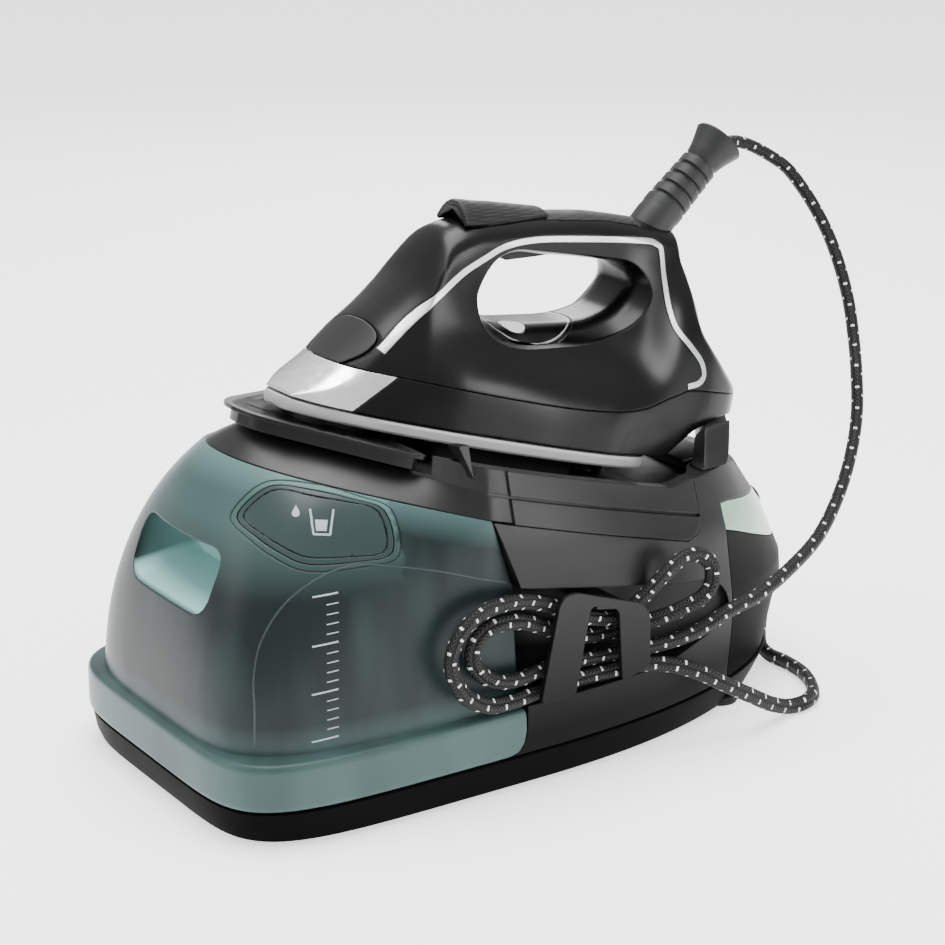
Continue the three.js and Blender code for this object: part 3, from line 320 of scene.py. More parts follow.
def make_materials():
    fine = 0.000006
    return {
        "black": moulded("plastic_black", (0.0012, 0.0012, 0.0013), 0.26, 900, fine, 0.0012, gloss=0.22),
        "housing": moulded(
            "plastic_housing", (0.0035, 0.0035, 0.0036), 0.42, edge=0.0009, gloss=0.34, shade_low_sides=True
        ),
        "cover": moulded("plastic_cover", (0.0025, 0.0025, 0.0026), 0.5, gloss=0.07, shade_low_sides=True),
        "shadow": moulded("plastic_shadow", (0.0008, 0.0008, 0.0008), 0.5, gloss=0.03),
        "lip": moulded("plastic_lip", (0.002, 0.002, 0.002), 0.34, depth=fine, gloss=0.3),
        "button": moulded("plastic_button", (0.004, 0.004, 0.0042), 0.45, 1400, 0.00004, gloss=0.25),
        "gloss": moulded("plastic_gloss", (0.003, 0.003, 0.003), 0.12, vary=0.03, depth=0.000004, gloss=0.4),
        "rubber": moulded("rubber_black", (0.006, 0.006, 0.0062), 0.68, 600, 0.00003, gloss=0.2),
        "boot": moulded("rubber_boot", (0.012, 0.0123, 0.0125), 0.5, 500, 0.00003, gloss=0.3),
        "lens": moulded("plastic_mint", (0.25, 0.4, 0.29), 0.2, vary=0.04, depth=0.000004),
        "white": moulded("plastic_white", (0.72, 0.73, 0.74), 0.4),
        "mark": moulded("print_pale", (0.3, 0.34, 0.34), 0.5),
        "flap": moulded("plastic_flap", (0.017, 0.03, 0.03), 0.3, depth=0.00001, gloss=0.25),
        "crease": moulded("plastic_crease", (0.022, 0.036, 0.037), 0.3, depth=fine, gloss=0.3),
        "board": moulded("board_green", (0.02, 0.1, 0.04), 0.5),
        "chrome": brushed("chrome_polished", (0.94, 0.94, 0.95), 0.2, (1, 1, 1)),
        "trim": brushed("trim_silver", (0.5, 0.51, 0.52), 0.34, (1, 0.1, 1)),
        "sole": brushed("sole_glazed", (0.42, 0.42, 0.425), 0.62, (1, 0.06, 1), metallic=0.4),
        "steel": brushed("steel_brushed", (0.55, 0.56, 0.57), 0.32, (0.05, 1, 1)),
        "cast": brushed("aluminium_cast", (0.5, 0.51, 0.52), 0.5, (1, 1, 1)),
        "brass": brushed("brass_turned", (0.62, 0.47, 0.22), 0.3, (1, 1, 0.1)),
        "tank": tank_material(),
        "braid": braid_material(),
        "dotted": dotted_material(),
    }


def dotted_material():
    """Soft plastic with rows of fine raised dots, for the grip and the hood."""
    shader = Shader("rubber_dotted", (0.003, 0.003, 0.0031), 0.5)
    shader.set("Specular IOR Level", 0.3)
    cells = shader.node("ShaderNodeTexVoronoi", [("Scale", 620), ("Randomness", 0.1)])
    shader.link(shader.coords.outputs["Object"], cells.inputs["Vector"])
    dots = shader.ramp(cells.outputs["Distance"], 0.2, 0.5, (1, 0))
    shader.bump(dots, 0.0003, 0.8, 0.0008)
    shader.colour(shader.mix(dots, (0.0015, 0.0015, 0.0015), (0.008, 0.008, 0.0082)))
    shader.roughness(shader.ramp(shader.noise(60), 0.3, 0.7, (0.42, 0.58)))
    return shader.material


# ---- curves through tables ----------------------------------------
def hermite(t, start, end, leave, arrive):
    """Point at t of a cubic with the given ends and end tangents."""
    point = (2 * t**3 - 3 * t**2 + 1) * start + (3 * t**2 - 2 * t**3) * end
    return point + (t**3 - 2 * t**2 + t) * leave + (t**3 - t**2) * arrive


def slopes(xs, ys):
    """Slopes of a smooth monotone curve through the points, one column of ys at a time."""
    step = np.diff(xs)[:, None]
    rate = np.diff(ys, axis=0) / step
    out = np.empty_like(ys)
    out[0], out[-1] = rate[0], rate[-1]
    same = rate[:-1] * rate[1:] > 0
    weight_a = 2 * step[1:] + step[:-1]
    weight_b = step[1:] + 2 * step[:-1]
    safe_a = np.where(same, rate[:-1], 1.0)
    safe_b = np.where(same, rate[1:], 1.0)
    out[1:-1] = np.where(same, (weight_a + weight_b) / (weight_a / safe_a + weight_b / safe_b), 0.0)
    return out


class Table:
    """Rows of (station, value, ...) read anywhere between, straight or along a smooth curve."""

    def __init__(self, rows, smooth=True):
        rows = np.array(rows, float)
        self.xs, self.ys = rows[:, 0], rows[:, 1:]
        self.rates = slopes(self.xs, self.ys) if smooth and len(rows) > 2 else None

    def __call__(self, at):
        at = min(max(at, self.xs[0]), self.xs[-1])
        i = min(max(int(np.searchsorted(self.xs, at, side="right")) - 1, 0), len(self.xs) - 2)
        width = self.xs[i + 1] - self.xs[i]
        t = (at - self.xs[i]) / width
        a, b = self.ys[i], self.ys[i + 1]
        if self.rates is None:
            return a + (b - a) * t
        return hermite(t, a, b, width * self.rates[i], width * self.rates[i + 1])


def rounded(outline, steps=4, closed=True):
    """A smooth Catmull-Rom line through the outline's points."""
    pts = np.array(outline, float)
    n = len(pts)
    out = []
    for i in range(n if closed else n - 1):
        if closed:
            a, b, c, d = pts[(i - 1) % n], pts[i], pts[(i + 1) % n], pts[(i + 2) % n]
        else:
            a, b, c, d = pts[max(i - 1, 0)], pts[i], pts[i + 1], pts[min(i + 2, n - 1)]
        bend, twist = 2 * a - 5 * b + 4 * c - d, 3 * b - a - 3 * c + d
        for k in range(steps):
            t = k / steps
            out.append(0.5 * ((2 * b) + (c - a) * t + bend * t**2 + twist * t**3))
    if not closed:
        out.append(pts[-1])
    return [tuple(p) for p in out]


def chamfered(outline, cut=1.5):
    """The outline with each corner cut twice, so that it reads as a small radius."""
    for share in (1.0, 0.45):
        pts = np.array(outline, float)
        out = []
        for i in range(len(pts)):
            for other in (pts[i - 1], pts[(i + 1) % len(pts)]):
                span = np.linalg.norm(other - pts[i])
                out.append(tuple(pts[i] + (other - pts[i]) * min(0.3, cut * share / max(span, 1e-6))))
        outline = out
    return outline


def evenly(points, count, closed=False):
    """Points at equal steps along a line of points."""
    pts = np.array(points, float)
    if closed:
        pts = np.vstack([pts, pts[:1]])
    run = np.concatenate([[0], np.cumsum(np.linalg.norm(np.diff(pts, axis=0), axis=1))])
    at = np.linspace(0, run[-1], count + 1)
    line = np.column_stack([np.interp(at, run, pts[:, k]) for k in range(pts.shape[1])])
    return line[:-1] if closed else line


def between(rings, per=5, smooth=True):
    """Further rings between the given ones."""
    rings = [np.array(r, float) for r in rings]
    gaps = [np.linalg.norm(b - a, axis=1).mean() for a, b in zip(rings, rings[1:])]
    run = np.concatenate([[0], np.cumsum(gaps)])
    flat = Table(np.column_stack([run, np.array([r.ravel() for r in rings])]), smooth)
    out = []
    for i in range(len(rings) - 1):
        for k in range(per):
            out.append(flat(run[i] + (run[i + 1] - run[i]) * k / per).reshape(-1, 3))
    out.append(rings[-1])
    return out


# ---- solids ----------------------------------------
def new_object(name, points, faces):
    mesh = bpy.data.meshes.new(name)
    mesh.from_pydata([tuple(np.array(p, float) * MM) for p in points], [], faces)
    made = linked(name, mesh)
    bm = bmesh.new()
    bm.from_mesh(mesh)
    bmesh.ops.remove_doubles(bm, verts=bm.verts, dist=1e-7)
    bmesh.ops.recalc_face_normals(bm, faces=bm.faces)
    bm.to_mesh(mesh)
    bm.free()
    return made


def loft(rings, name="loft"):
    count = len(rings[0])
    points = [tuple(p) for ring in rings for p in ring]
    faces = []
    for r in range(len(rings) - 1):
        for i in range(count):
            a, b = r * count + i, r * count + (i + 1) % count
            faces.append((a, b, b + count, a + count))
    for start in (0, (len(rings) - 1) * count):
        centre = len(points)
        points.append(tuple(np.mean(np.array(points[start : start + count]), axis=0)))
        faces += [(start + i, start + (i + 1) % count, centre) for i in range(count)]
    return new_object(name, points, faces)


def prism(outline, axis, low, high):
    """A straight bar along x or z, from its outline in the two other directions."""
    count = len(outline)
    if axis == "x":
        points = [(w, u, v) for w in (low, high) for u, v in outline]
    else:
        points = [(u, v, w) for w in (low, high) for u, v in outline]
    faces = [(i, (i + 1) % count, count + (i + 1) % count, count + i) for i in range(count)]
    faces.append(tuple(range(count)))
    faces.append(tuple(range(count, 2 * count)))
    return new_object("prism", points, faces)


def flat(outline, low=-150, high=150):
    """A bar along x from its outline in side view, wide enough to cut through everything."""
    return prism(outline, "x", low, high)


def slab(x0, x1, y0, y1, z0, z1):
    return prism([(x0, y0), (x1, y0), (x1, y1), (x0, y1)], "z", z0, z1)


def turned(profile, sides=48):
    """Solid of revolution about +Z, from (radius, height) points that start and end on the axis."""
    rings = []
    for radius, height in profile:
        radius = max(radius, 0.01)
        angles = np.linspace(0, 2 * math.pi, sides, endpoint=False)
        rings.append([(radius * math.cos(a), radius * math.sin(a), height) for a in angles])
    return loft(rings)


def rod(radius, low, high, sides=48):
    """A plain round bar, used as a cutting tool."""
    return turned([(0, low), (radius, low), (radius, high), (0, high)], sides)


def placed(obj, matrix):
    obj.data.transform(matrix)
    obj.data.update()
    return obj


def moved(obj, x, y, z=0.0):
    return placed(obj, Matrix.Translation((x * MM, y * MM, z * MM)))


def aimed(obj, direction, place):
    turn = Vector((0, 0, 1)).rotation_difference(Vector(direction)).to_matrix().to_4x4()
    return placed(obj, Matrix.Translation(Vector(place) * MM) @ turn)


IRON_FRAME = Matrix.Translation(Vector(SOLE_TIP) * MM) @ Matrix.Rotation(-TILT, 4, "X")


def tilted(obj):
    """Puts a shape made in the iron's own frame (y along the sole, z square to it) in place."""
    return placed(obj, IRON_FRAME)


def applied(obj):
    """Bakes the object's modifiers into its mesh."""
    graph = bpy.context.evaluated_depsgraph_get()
    mesh = bpy.data.meshes.new_from_object(obj.evaluated_get(graph))
    obj.modifiers.clear()
    obj.data = mesh
    return obj


def combined(body, tool, operation):
    modifier = body.modifiers.new("cut", "BOOLEAN")
    modifier.object = tool
    modifier.operation = operation
    modifier.solver = "MANIFOLD"
    applied(body)
    bpy.data.objects.remove(tool)
    if not body.data.polygons:
        raise RuntimeError(f"{body.name}: nothing is left after {operation}")
    return body


def carve(body, *tools):
    for tool in tools:
        combined(body, tool, "DIFFERENCE")
    return body


def keep(body, tool):
    return combined(body, tool, "INTERSECT")


def join(body, *tools):
    for tool in tools:
        combined(body, tool, "UNION")
    return body


def copied(obj):
    return linked("copy", obj.data.copy())


def dressed(mesh, material, angle):
    """Gives a mesh its material and smooth shading with sharp edges past an angle."""
    mesh.materials.clear()
    mesh.materials.append(material)
    for polygon in mesh.polygons:
        polygon.use_smooth = True
    mesh.set_sharp_from_angle(angle=math.radians(angle))


def piece(obj, name, material, body, slot, *nodes, angle=32):
    """Finishes a shape as a visible piece that rides on a body and may stand for CAD nodes."""
    obj.name = name
    obj.data.name = name
    dressed(obj.data, material, angle)
    modifier = obj.modifiers.new("normals", "WEIGHTED_NORMAL")
    modifier.keep_sharp = True
    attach(obj, body)
    if nodes:
        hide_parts(*nodes)
    return obj


# ---- plan of the base ----------------------------------------
PLAN_POINTS = 220


def plan_ring(half, front, rear, height, inset=0.0, power=6.0, rear_power=2.2):
    dense = []
    for i in range(720):
        angle = 2 * math.pi * i / 720
        c, s = math.cos(angle), math.sin(angle)
        n = rear_power if s > 0 else power
        reach = rear - inset - WIDE_Y if s > 0 else WIDE_Y - front - inset
        x = math.copysign(abs(c) ** (2 / n), c) * (half - inset)
        y = WIDE_Y + math.copysign(abs(s) ** (2 / n), s) * reach
        dense.append((x, y))
    ring = evenly(dense, PLAN_POINTS, closed=True)
    return np.array([(x, y, height(y) if callable(height) else height) for x, y in ring])


def leaning(drop):
    """Height at y of a plane parallel to the soleplate, `drop` below it."""
    return lambda y: SOLE_TIP[2] - drop / math.cos(TILT) - (y - SOLE_TIP[1]) * math.tan(TILT)


def slope(drop, *places):
    return [(y, leaning(drop)(y)) for y in places]


# Heights of the housing's three soft edges along y.
CREASE = Table([(-40, 114), (44, 89), (110, 73), (200, 70)])
SHOULDER = Table([(-40, 137), (88, 110), (130, 105), (185, 100)])
BROW = Table([(-40, 171), (75, 138), (91, 138.5), (107, 138.5), (130, 137), (150, 131), (168, 127)])
TOP_LINE = [
    *slope(EDGE_DROP, -60, 75), (90, 137.8), (108, HOOP_SEAT_Z), (131, HOOP_SEAT_Z - 0.6), (150, 130),
    (168, 127), (240, 126),
]
FLOOR_LINE = [*slope(FLOOR_DROP, -170, 88), (100, 122.5), (130, 124.5), (165, 127.4), (240, 128)]
# Half a plan of the well: (x, y).
WELL_HALF = [
    (0, -170), (38, -158), (62, -108), (74, -76), (82, -30), (80, 30), (74, 65), (66, 95), (50, 112),
    (46, 135), (36, 172), (0, 190),
]


def level_of(table, lift=0.0):
    return lambda y: float(table(y)[0]) + lift


def housing_outer(inset=0.0, foot=SEAT_Z + 0.6):
    """The whole outer form of the housing, from the tray up past the top edge."""
    rings = [
        plan_ring(106.5, FRONT_Y, 190, foot, inset),
        plan_ring(107.5, FRONT_Y, 196, 44, inset),
        plan_ring(107.5, FRONT_Y, 201.5, 60, inset),
        plan_ring(106, FRONT_Y, 201, level_of(CREASE), inset),
        plan_ring(102, FRONT_Y, 186, level_of(SHOULDER), inset),
        plan_ring(92.5, FRONT_Y, 166, level_of(BROW), inset),
        plan_ring(88, FRONT_Y, 156, level_of(BROW, 16), inset),
    ]
    return loft(between(rings, 4, smooth=False))


def above(line):
    """Everything higher than a line seen from the side."""
    outline = [*line, (line[-1][0], 320), (line[0][0], 320)]
    return flat(outline)


def mirrored(half):
    return [*half, *[(-x, y) for x, y in reversed(half) if x > 0]]


def well():
    """The sunk floor that the iron rests in."""
    outline = mirrored(rounded(WELL_HALF, 4, closed=False))
    return keep(above(FLOOR_LINE), prism(outline, "z", 90, 260))


def rest_region(grow):
    """Side view of the iron rest, from its lower seam up."""
    low = slope(REST_DROP + 0.4 + grow, -60, 80)
    corner = [
        (87, 111.5 - grow), (91 + grow / 2, 114), (93 + grow / 2, 118), (93.8 + grow, 124),
        (94.5 + grow, 160), (-60, 260),
    ]
    return flat([*low, *corner])


def lens_band(grow):
    return carve(lens_region(grow), housing_outer(LENS_DEPTH + grow, SEAT_Z - 4))


def lens_region(grow):
    """Side view of the pale band between the housing and the rear cover."""
    lower = [(SEAM_Y - grow, 106 - grow), (124, 103 - grow), (171, 84 - grow), (240, 64 - grow)]
    upper = [(y, z + grow) for y, z in ((240, 92), (190, 103), (167, 110), (124, 119))]
    upper.append((SEAM_Y - grow, 120 + grow))
    return flat([*lower, *upper])


def cover_region(grow):
    """Side view of the rounded rear cover, below the pale band."""
    outline = [
        (SEAM_Y - grow, -10), (240, -10), (240, 64 + grow), (171, 84 + grow), (124, 103 + grow),
        (SEAM_Y - grow, 106 + grow),
    ]
    return flat(outline)


# Side view of the joint between tank and housing: (y, z).
TANK_REAR = [
    (-66, 186), (-53.5, 150), (-40.5, 112), (-38.5, 80), (-36.5, 46), (-36.3, 33), (-37.6, 27), (-41, 22.6),
    (-47, 20), (-47, 8),
]


def behind_tank(gap):
    """Everything to the rear of the line where the tank meets the housing."""
    line = [(y + gap, z) for y, z in TANK_REAR]
    return flat([*line, (260, 8), (260, 320), (-66 + gap, 320)])


def ribbon(line, half):
    """A band of the given half width along a run of points."""
    pts = np.array(line, float)
    along = np.gradient(pts, axis=0)
    along /= np.linalg.norm(along, axis=1)[:, None]
    side = np.column_stack([-along[:, 1], along[:, 0]]) * half
    return [tuple(p) for p in pts + side] + [tuple(p) for p in (pts - side)[::-1]]


# ---- base ----------------------------------------
CHANNEL_X, LENS_DEPTH = 84, 5  # floor of the hose channel, and thickness of the pale band
CHANNEL = [(-60, 47), (60, 47), (112, 59), (112, 72), (100, 84), (40, 96), (-60, 116)]
GLAND_FROM, GLAND_TO = (-16, 186, 29), (5, 196.5, 28.4)
SCALE_PORT = (-100, 60, 60)
REAR_BUTTONS = {"power_button": -15, "eco_button": 15}
REAR_BUTTON_Y, REAR_BUTTON_Z = 186.5, 96
REAR_NORMAL = (0, 0.88, 0.47)
VALVE_AT = (-46, -41, 36)
FEET = [(-78, -160), (78, -160), (-70, 122), (70, 122)]
HEEL_PAD_Y = 205


def build_tray(mats):
    rings = [
        plan_ring(102, FRONT_Y + 7, REAR_Y - 24, 1.6),
        plan_ring(103.8, FRONT_Y + 4.5, REAR_Y - 21, 2.6),
        plan_ring(105, FRONT_Y + 2, REAR_Y - 16, 9),
        plan_ring(106, FRONT_Y + 0.6, REAR_Y - 9, 18.4),
        plan_ring(105, FRONT_Y + 1.6, REAR_Y - 10, 19.4),
    ]
    tray = loft(rings)
    for x, y in FEET:
        carve(tray, moved(rod(11.6, 0, 5.8), x, y))
    piece(tray, "tray", mats["shadow"], "base", "black_plastic", "base_tray")


def build_feet(mats):
    """Soft feet with a sunk middle, a ring groove and a rounded edge."""
    profile = [(0, 1.1), (3.6, 1.1), (4.4, 0.3), (5.2, 0), (7.0, 0), (7.3, 0.5), (7.7, 0.5), (8.0, 0)]
    profile += [(9.2, 0), (10.2, 0.5), (10.8, 1.6), (11, 3), (11, 5.4), (0, 5.4)]
    for index, (x, y) in enumerate(FEET):
        foot = moved(turned(profile), x, y)
        node = f"rubber_foot_{index + 1}"
        piece(foot, f"foot_{index + 1}_ringed", mats["rubber"], "base", "rubber", node)


def build_housing(mats):
    outer = housing_outer()
    shell = keep(copied(outer), behind_tank(0.5))
    carve(shell, above(TOP_LINE), well())
    channel = flat(chamfered(CHANNEL, 5), CHANNEL_X, 150)
    dock_hole = aimed(rod(9, -2, 12), (0, 1, 0), VALVE_AT)
    carve(shell, channel, dock_hole)
    for x in REAR_BUTTONS.values():
        carve(shell, aimed(rod(7.7, -12, 12), REAR_NORMAL, (x, REAR_BUTTON_Y, REAR_BUTTON_Z)))
    port = aimed(rod(13.8, -8, 20), (-1, 0, 0), SCALE_PORT)
    main = carve(copied(shell), rest_region(GAP), cover_region(GAP / 2), lens_band(GAP / 2), port)
    piece(main, "housing", mats["housing"], "base", "housing_plastic", "main_housing")
    axis = Vector(GLAND_TO) - Vector(GLAND_FROM)
    gland_hole = aimed(rod(7.6, -14, 40), axis, GLAND_FROM)
    cover = carve(keep(copied(shell), cover_region(-GAP / 2)), gland_hole)
    piece(cover, "cover_rear", mats["cover"], "base", "housing_plastic", "rear_cover")
    lens = keep(copied(shell), lens_band(-GAP / 2))
    piece(lens, "lens_band", mats["lens"], "base", "lens_plastic", "lens_strip")
    bpy.data.objects.remove(shell)
    return outer


def eased(value, low, high):
    """0 at low, 1 at high, and a smooth step between."""
    t = min(max((value - low) / (high - low), 0), 1)
    return t * t * (3 - 2 * t)


def neck_ring(front, rear, drop):
    """Plan of the rest ahead of the housing: the tank's rim moved inwards, less towards the rear."""
    out = []
    for x, y, _ in rim_line(0.0, drop, TANK_POINTS, NECK_END_Y):
        inwards = front + (rear - front) * eased(y, -100, NECK_END_Y)
        x = x - inwards * min(1, x / 40)
        y = y + front * (1 - eased(y, -110, -60))
        out.append((max(0, x), y, leaning(drop)(y)))
    out.append((out[-1][0], -30, leaning(drop)(-30)))
    return whole_ring(out)


def build_rest(outer, mats):
    neck = loft(between([neck_ring(0.8, 0.4, REST_DROP), neck_ring(8, 2.4, 20), neck_ring(16, 4.6, 13)], 4))
    brow = loft([neck_ring(15, 4.2, 14), neck_ring(15, 7.6, EDGE_DROP)])
    brow = carve(keep(brow, slab(-150, 150, -80, 0, 0, 300)), well())
    side = keep(copied(outer), rest_region(0))
    side = keep(side, slab(-150, 150, NECK_END_Y + 1.4, 260, 0, 320))
    rest = join(side, neck, brow)
    carve(rest, well())
    carve(rest, above([*slope(EDGE_DROP, -120, 75), (90, 138.4), (120, 138.4)]))
    band = flat(ribbon([*slope(GROOVE_DROP, -90, 94)], 0.8))
    carve(rest, carve(band, housing_outer(1.6)))
    piece(rest, "rest_deck", mats["housing"], "base", "housing_plastic", "iron_rest")


# Half a plan of the lip plate, in the iron's frame.
LIP_HALF = [(0, -22), (14, -19), (27, -9), (42, 8), (56, 24), (67, 37), (72, 46), (72, 51), (66, 53)]


def lip_line(inset):
    """Plan of the lip plate, both sides, moved inwards."""
    half = np.array(rounded(LIP_HALF, 5, closed=False))
    flat_line = inset_line(np.column_stack([half, half[:, 0] * 0]), inset)
    return mirrored([(x, y) for x, y, _ in flat_line])


def build_lip(mats):
    lip = prism(lip_line(0), "z", -5.2, -3.2)
    core = prism(lip_line(4.5), "z", -FLOOR_DROP + 0.4, -4.9)
    join(lip, core)
    for inset in (4.5, 9.5):
        carve(lip, carve(prism(lip_line(inset), "z", -4.1, 0), prism(lip_line(inset + 0.9), "z", -6, 2)))
    carve(lip, softened(prism([(-9, -5), (9, -5), (7, -1.5), (-7, -1.5)], "z", -4.8, 0), 0.3))
    piece(tilted(lip), "lip_plate", mats["lip"], "base", "black_plastic", "rest_lip")


HOOP_SECTIONS = 61


def hoop_ring(u):
    """Section of the lock hoop at u, which runs from 1 to -1 across the object."""
    reach = abs(u)
    shoulder = 9 * math.exp(-(((reach - 0.7) / 0.14) ** 2))
    lift = HOOP_SEAT_Z + 0.4 + 12 * (1 - reach**3) + shoulder
    back = max(0.0, 1 - reach) ** 0.85
    sign = (u > 0) - (u < 0)
    front = np.array([66 * u, 108.6 + 47 * back, lift])
    rear = np.array([62 * u, 129 + 46 * back, lift - 0.6])
    ring = [front]
    for t in (0.12, 0.35, 0.65, 0.88):
        bulge = 1.5 * math.sin(math.pi * t)
        ring.append(front + (rear - front) * t + np.array([sign * 0.8 * reach, 0, bulge * (1 - reach**2)]))
    ring.append(rear)
    depth = 1 - reach**4
    ring.append(rear + np.array([-sign * 10 * reach, 0, -9 * depth]))
    ring.append(front + np.array([-sign * 12 * reach, 0, -10 * depth]))
    return ring


def build_hoop(mats):
    stations = [math.sin(math.pi / 2 * t) for t in np.linspace(1, -1, HOOP_SECTIONS)]
    hoop = loft([hoop_ring(u) for u in stations])
    piece(hoop, "hoop", mats["housing"], "lock_hoop", "housing_plastic", "lock_hoop", angle=40)


CLIP_X = (109.5, 112.4)
CLIP_OUTLINE = [
    (-31.3, 48.4), (-10.4, 48.2), (-8.5, 51.8), (20.7, 51.8), (22, 49.8), (39.2, 53.8), (38.4, 83.9),
    (32.9, 90.7), (-9.3, 105.1), (-16, 104.6), (-20, 101.4),
]
CLIP_WINDOW = [(-11, 40), (-8.5, 53), (-0.3, 96.1), (17.9, 90.6), (20.7, 53), (20.9, 40)]


def softened(obj, width=0.6, segments=2):
    modifier = obj.modifiers.new("edges", "BEVEL")
    modifier.width = width * MM
    modifier.segments = segments
    modifier.limit_method = "ANGLE"
    return applied(obj)


def build_clip(mats):
    legs = flat(chamfered(CLIP_OUTLINE, 2), *CLIP_X)
    carve(legs, flat(chamfered(CLIP_WINDOW, 2), 100, 120))
    softened(legs, 0.7)
    web = flat([(4, 93), (26, 89), (26, 91.6), (4, 99.6)], CHANNEL_X + 0.4, CLIP_X[1] - 1)
    join(legs, web)
    piece(legs, "clip", mats["housing"], "base", "housing_plastic", "hose_clip")


def build_pads(mats):
    low, high = -FLOOR_DROP + 0.4, -0.5
    for name, sign in (("rest_pad_left", -1), ("rest_pad_right", 1)):
        outline = chamfered([(sign * 36, 80), (sign * 24, 80), (sign * 24, 176), (sign * 36, 176)], 4)
        pad = softened(tilted(prism(outline, "z", low, high)), 0.8)
        piece(pad, name + "_soft", mats["rubber"], "base", "rubber", name)
    profile = [(0, low), (14.2, low), (15, low + 1), (15, high - 1.6), (13.4, high), (5, high - 0.2)]
    profile.append((0, high - 0.3))
    pad = tilted(moved(turned(profile), 0, HEEL_PAD_Y))
    piece(pad, "heel_pad_soft", mats["gloss"], "base", "rubber", "heel_pad")


def build_saddle(mats):
    """Raised centre of the deck between the heel pad and the lock hoop."""
    for name, half, lift in (("saddle", 27, 0), ("saddle_ramp", 22, 1.1)):
        outline = [(127, 122), (130, 127.2 + lift), (140, 128.4 + lift), (152, 129.6 + lift), (157, 122)]
        ramp = softened(flat(outline, -half, half), 1.0)
        piece(ramp, name, mats["housing"], "base", "housing_plastic")


def build_rear_buttons(mats):
    profile = [(0, -3), (4, -3), (4, -1.6), (7, -1.6), (7, 1.2), (6.6, 1.8), (5.9, 2.2), (4.8, 2.0), (0, 1.7)]
    for name, x in REAR_BUTTONS.items():
        button = aimed(turned(profile), REAR_NORMAL, (x, REAR_BUTTON_Y, REAR_BUTTON_Z))
        piece(button, name + "_cap", mats["button"], name, "button_plastic", name)


def build_gland(mats):
    axis = Vector(GLAND_TO) - Vector(GLAND_FROM)
    length = axis.length
    profile = [(0, 0), (7, 0)]
    for i in range(4):
        start = length - 12 + i * 2.6
        profile += [(7 - 0.3 * i, start), (6.2 - 0.3 * i, start + 0.5), (6.2 - 0.3 * i, start + 1.6)]
    profile += [(5.9, length - 0.4), (5.5, length), (0, length)]
    gland = aimed(turned(profile), axis, GLAND_FROM)
    piece(gland, "gland_ribbed", mats["rubber"], "base", "rubber", "hose_gland")


# ---- tank ----------------------------------------
TANK_POINTS = 60
TANK_HALF, TANK_FRONT_Y, TANK_POWER = 99.5, -196.5, 5.0
RIM_FRONT_Y, RIM_SPREAD, RIM_POWER, RIM_MAX = -154.5, 12.35, 0.45, 98.8
# Hand recess: half widths at the top and the bottom, heights, depth, and rise towards its back.
RECESS = {"top": 43, "bottom": 40, "low": 106, "high": 139, "deep": 36, "lift": 9}
# Fill flap: its middle, its two directions in the wall, and the wall's outward direction.
FLAP_PLACE = Vector((62, -137, 152.7))
FLAP_U = Vector((0.516, 0.857, -0.017)).normalized()
FLAP_OUT = Vector((0.666, -0.388, 0.637))
FLAP_W = (FLAP_OUT - FLAP_U * FLAP_U.dot(FLAP_OUT)).normalized()
FLAP_V = FLAP_W.cross(FLAP_U)
LEAF = [
    (-36, 5), (-29, 14.4), (-18, 20), (0, 17), (20, 12.5), (36.6, 7), (40.6, -13), (24.7, -19), (0, -22),
    (-14.6, -16), (-27, -6),
]


def foot_line(half, front, power, z, count=TANK_POINTS):
    line = []
    for i in range(361):
        angle = math.radians(-90 + i / 4)
        x = abs(math.cos(angle)) ** (2 / power) * half
        y = WIDE_Y - abs(math.sin(angle)) ** (2 / power) * (WIDE_Y - front)
        if y < TANK_END_Y:
            line.append((0 if i == 0 else x, y, z))
    line.append((half, TANK_END_Y, z))
    return evenly(line, count)


def inset_line(line, distance):
    """Half a plan outline moved inwards, with its ends kept on x = 0 and on the rear plane."""
    pts = np.array(line, float)
    along = np.gradient(pts[:, :2], axis=0)
    along /= np.linalg.norm(along, axis=1)[:, None]
    along[0] = (1, 0)
    if along[-1, 0] > -0.5:
        along[-1] = (0, 1)
    out = pts.copy()
    out[:, 0] = np.maximum(0, pts[:, 0] - along[:, 1] * distance)
    out[:, 1] = pts[:, 1] + along[:, 0] * distance
    return out


def rim_line(inset, drop, count=TANK_POINTS, end=TANK_END_Y):
    line = []
    for i in range(241):
        y = RIM_FRONT_Y + (end - RIM_FRONT_Y) * (i / 240) ** 2
        line.append((min(RIM_MAX, RIM_SPREAD * max(0, y - RIM_FRONT_Y) ** RIM_POWER), y, 0))
    line = evenly(inset_line(line, inset), count)
    return np.array([(x, y, leaning(drop)(y)) for x, y, _ in line])


def whole_ring(half):
    half = [tuple(p) for p in half]
    return np.array(half[::-1] + [(-x, y, z) for x, y, z in half[1:]])


def tank_wall(inset, rows):
    """Rings of the tank's wall, which bulges over its foot and leans in to the rim."""
    foot = inset_line(foot_line(TANK_HALF, TANK_FRONT_Y, TANK_POWER, LEDGE_Z + 0.5), inset)
    rim = rim_line(inset, REST_DROP + 0.4 + inset)
    rise = (rim[:, 2] - foot[:, 2])[:, None]
    low = foot * (0.985, 0.99, 1) + (0, -0.2, 0) + rise * (0, 0, 0.42)
    high = np.column_stack([
        rim[:, 0] + (foot[:, 0] - rim[:, 0]) * 0.68, rim[:, 1] + (foot[:, 1] - rim[:, 1]) * 0.6,
        rim[:, 2] - rise[:, 0] * 0.2,
    ])
    rings = []
    for t in rows:
        s = 1 - t
        rings.append(whole_ring(foot * s**3 + low * 3 * s * s * t + high * 3 * s * t * t + rim * t**3))
    return rings


def skirt_ring(inset, z):
    return whole_ring(inset_line(foot_line(BASE_HALF - 0.5, FRONT_Y - 1, 6.0, z), inset))


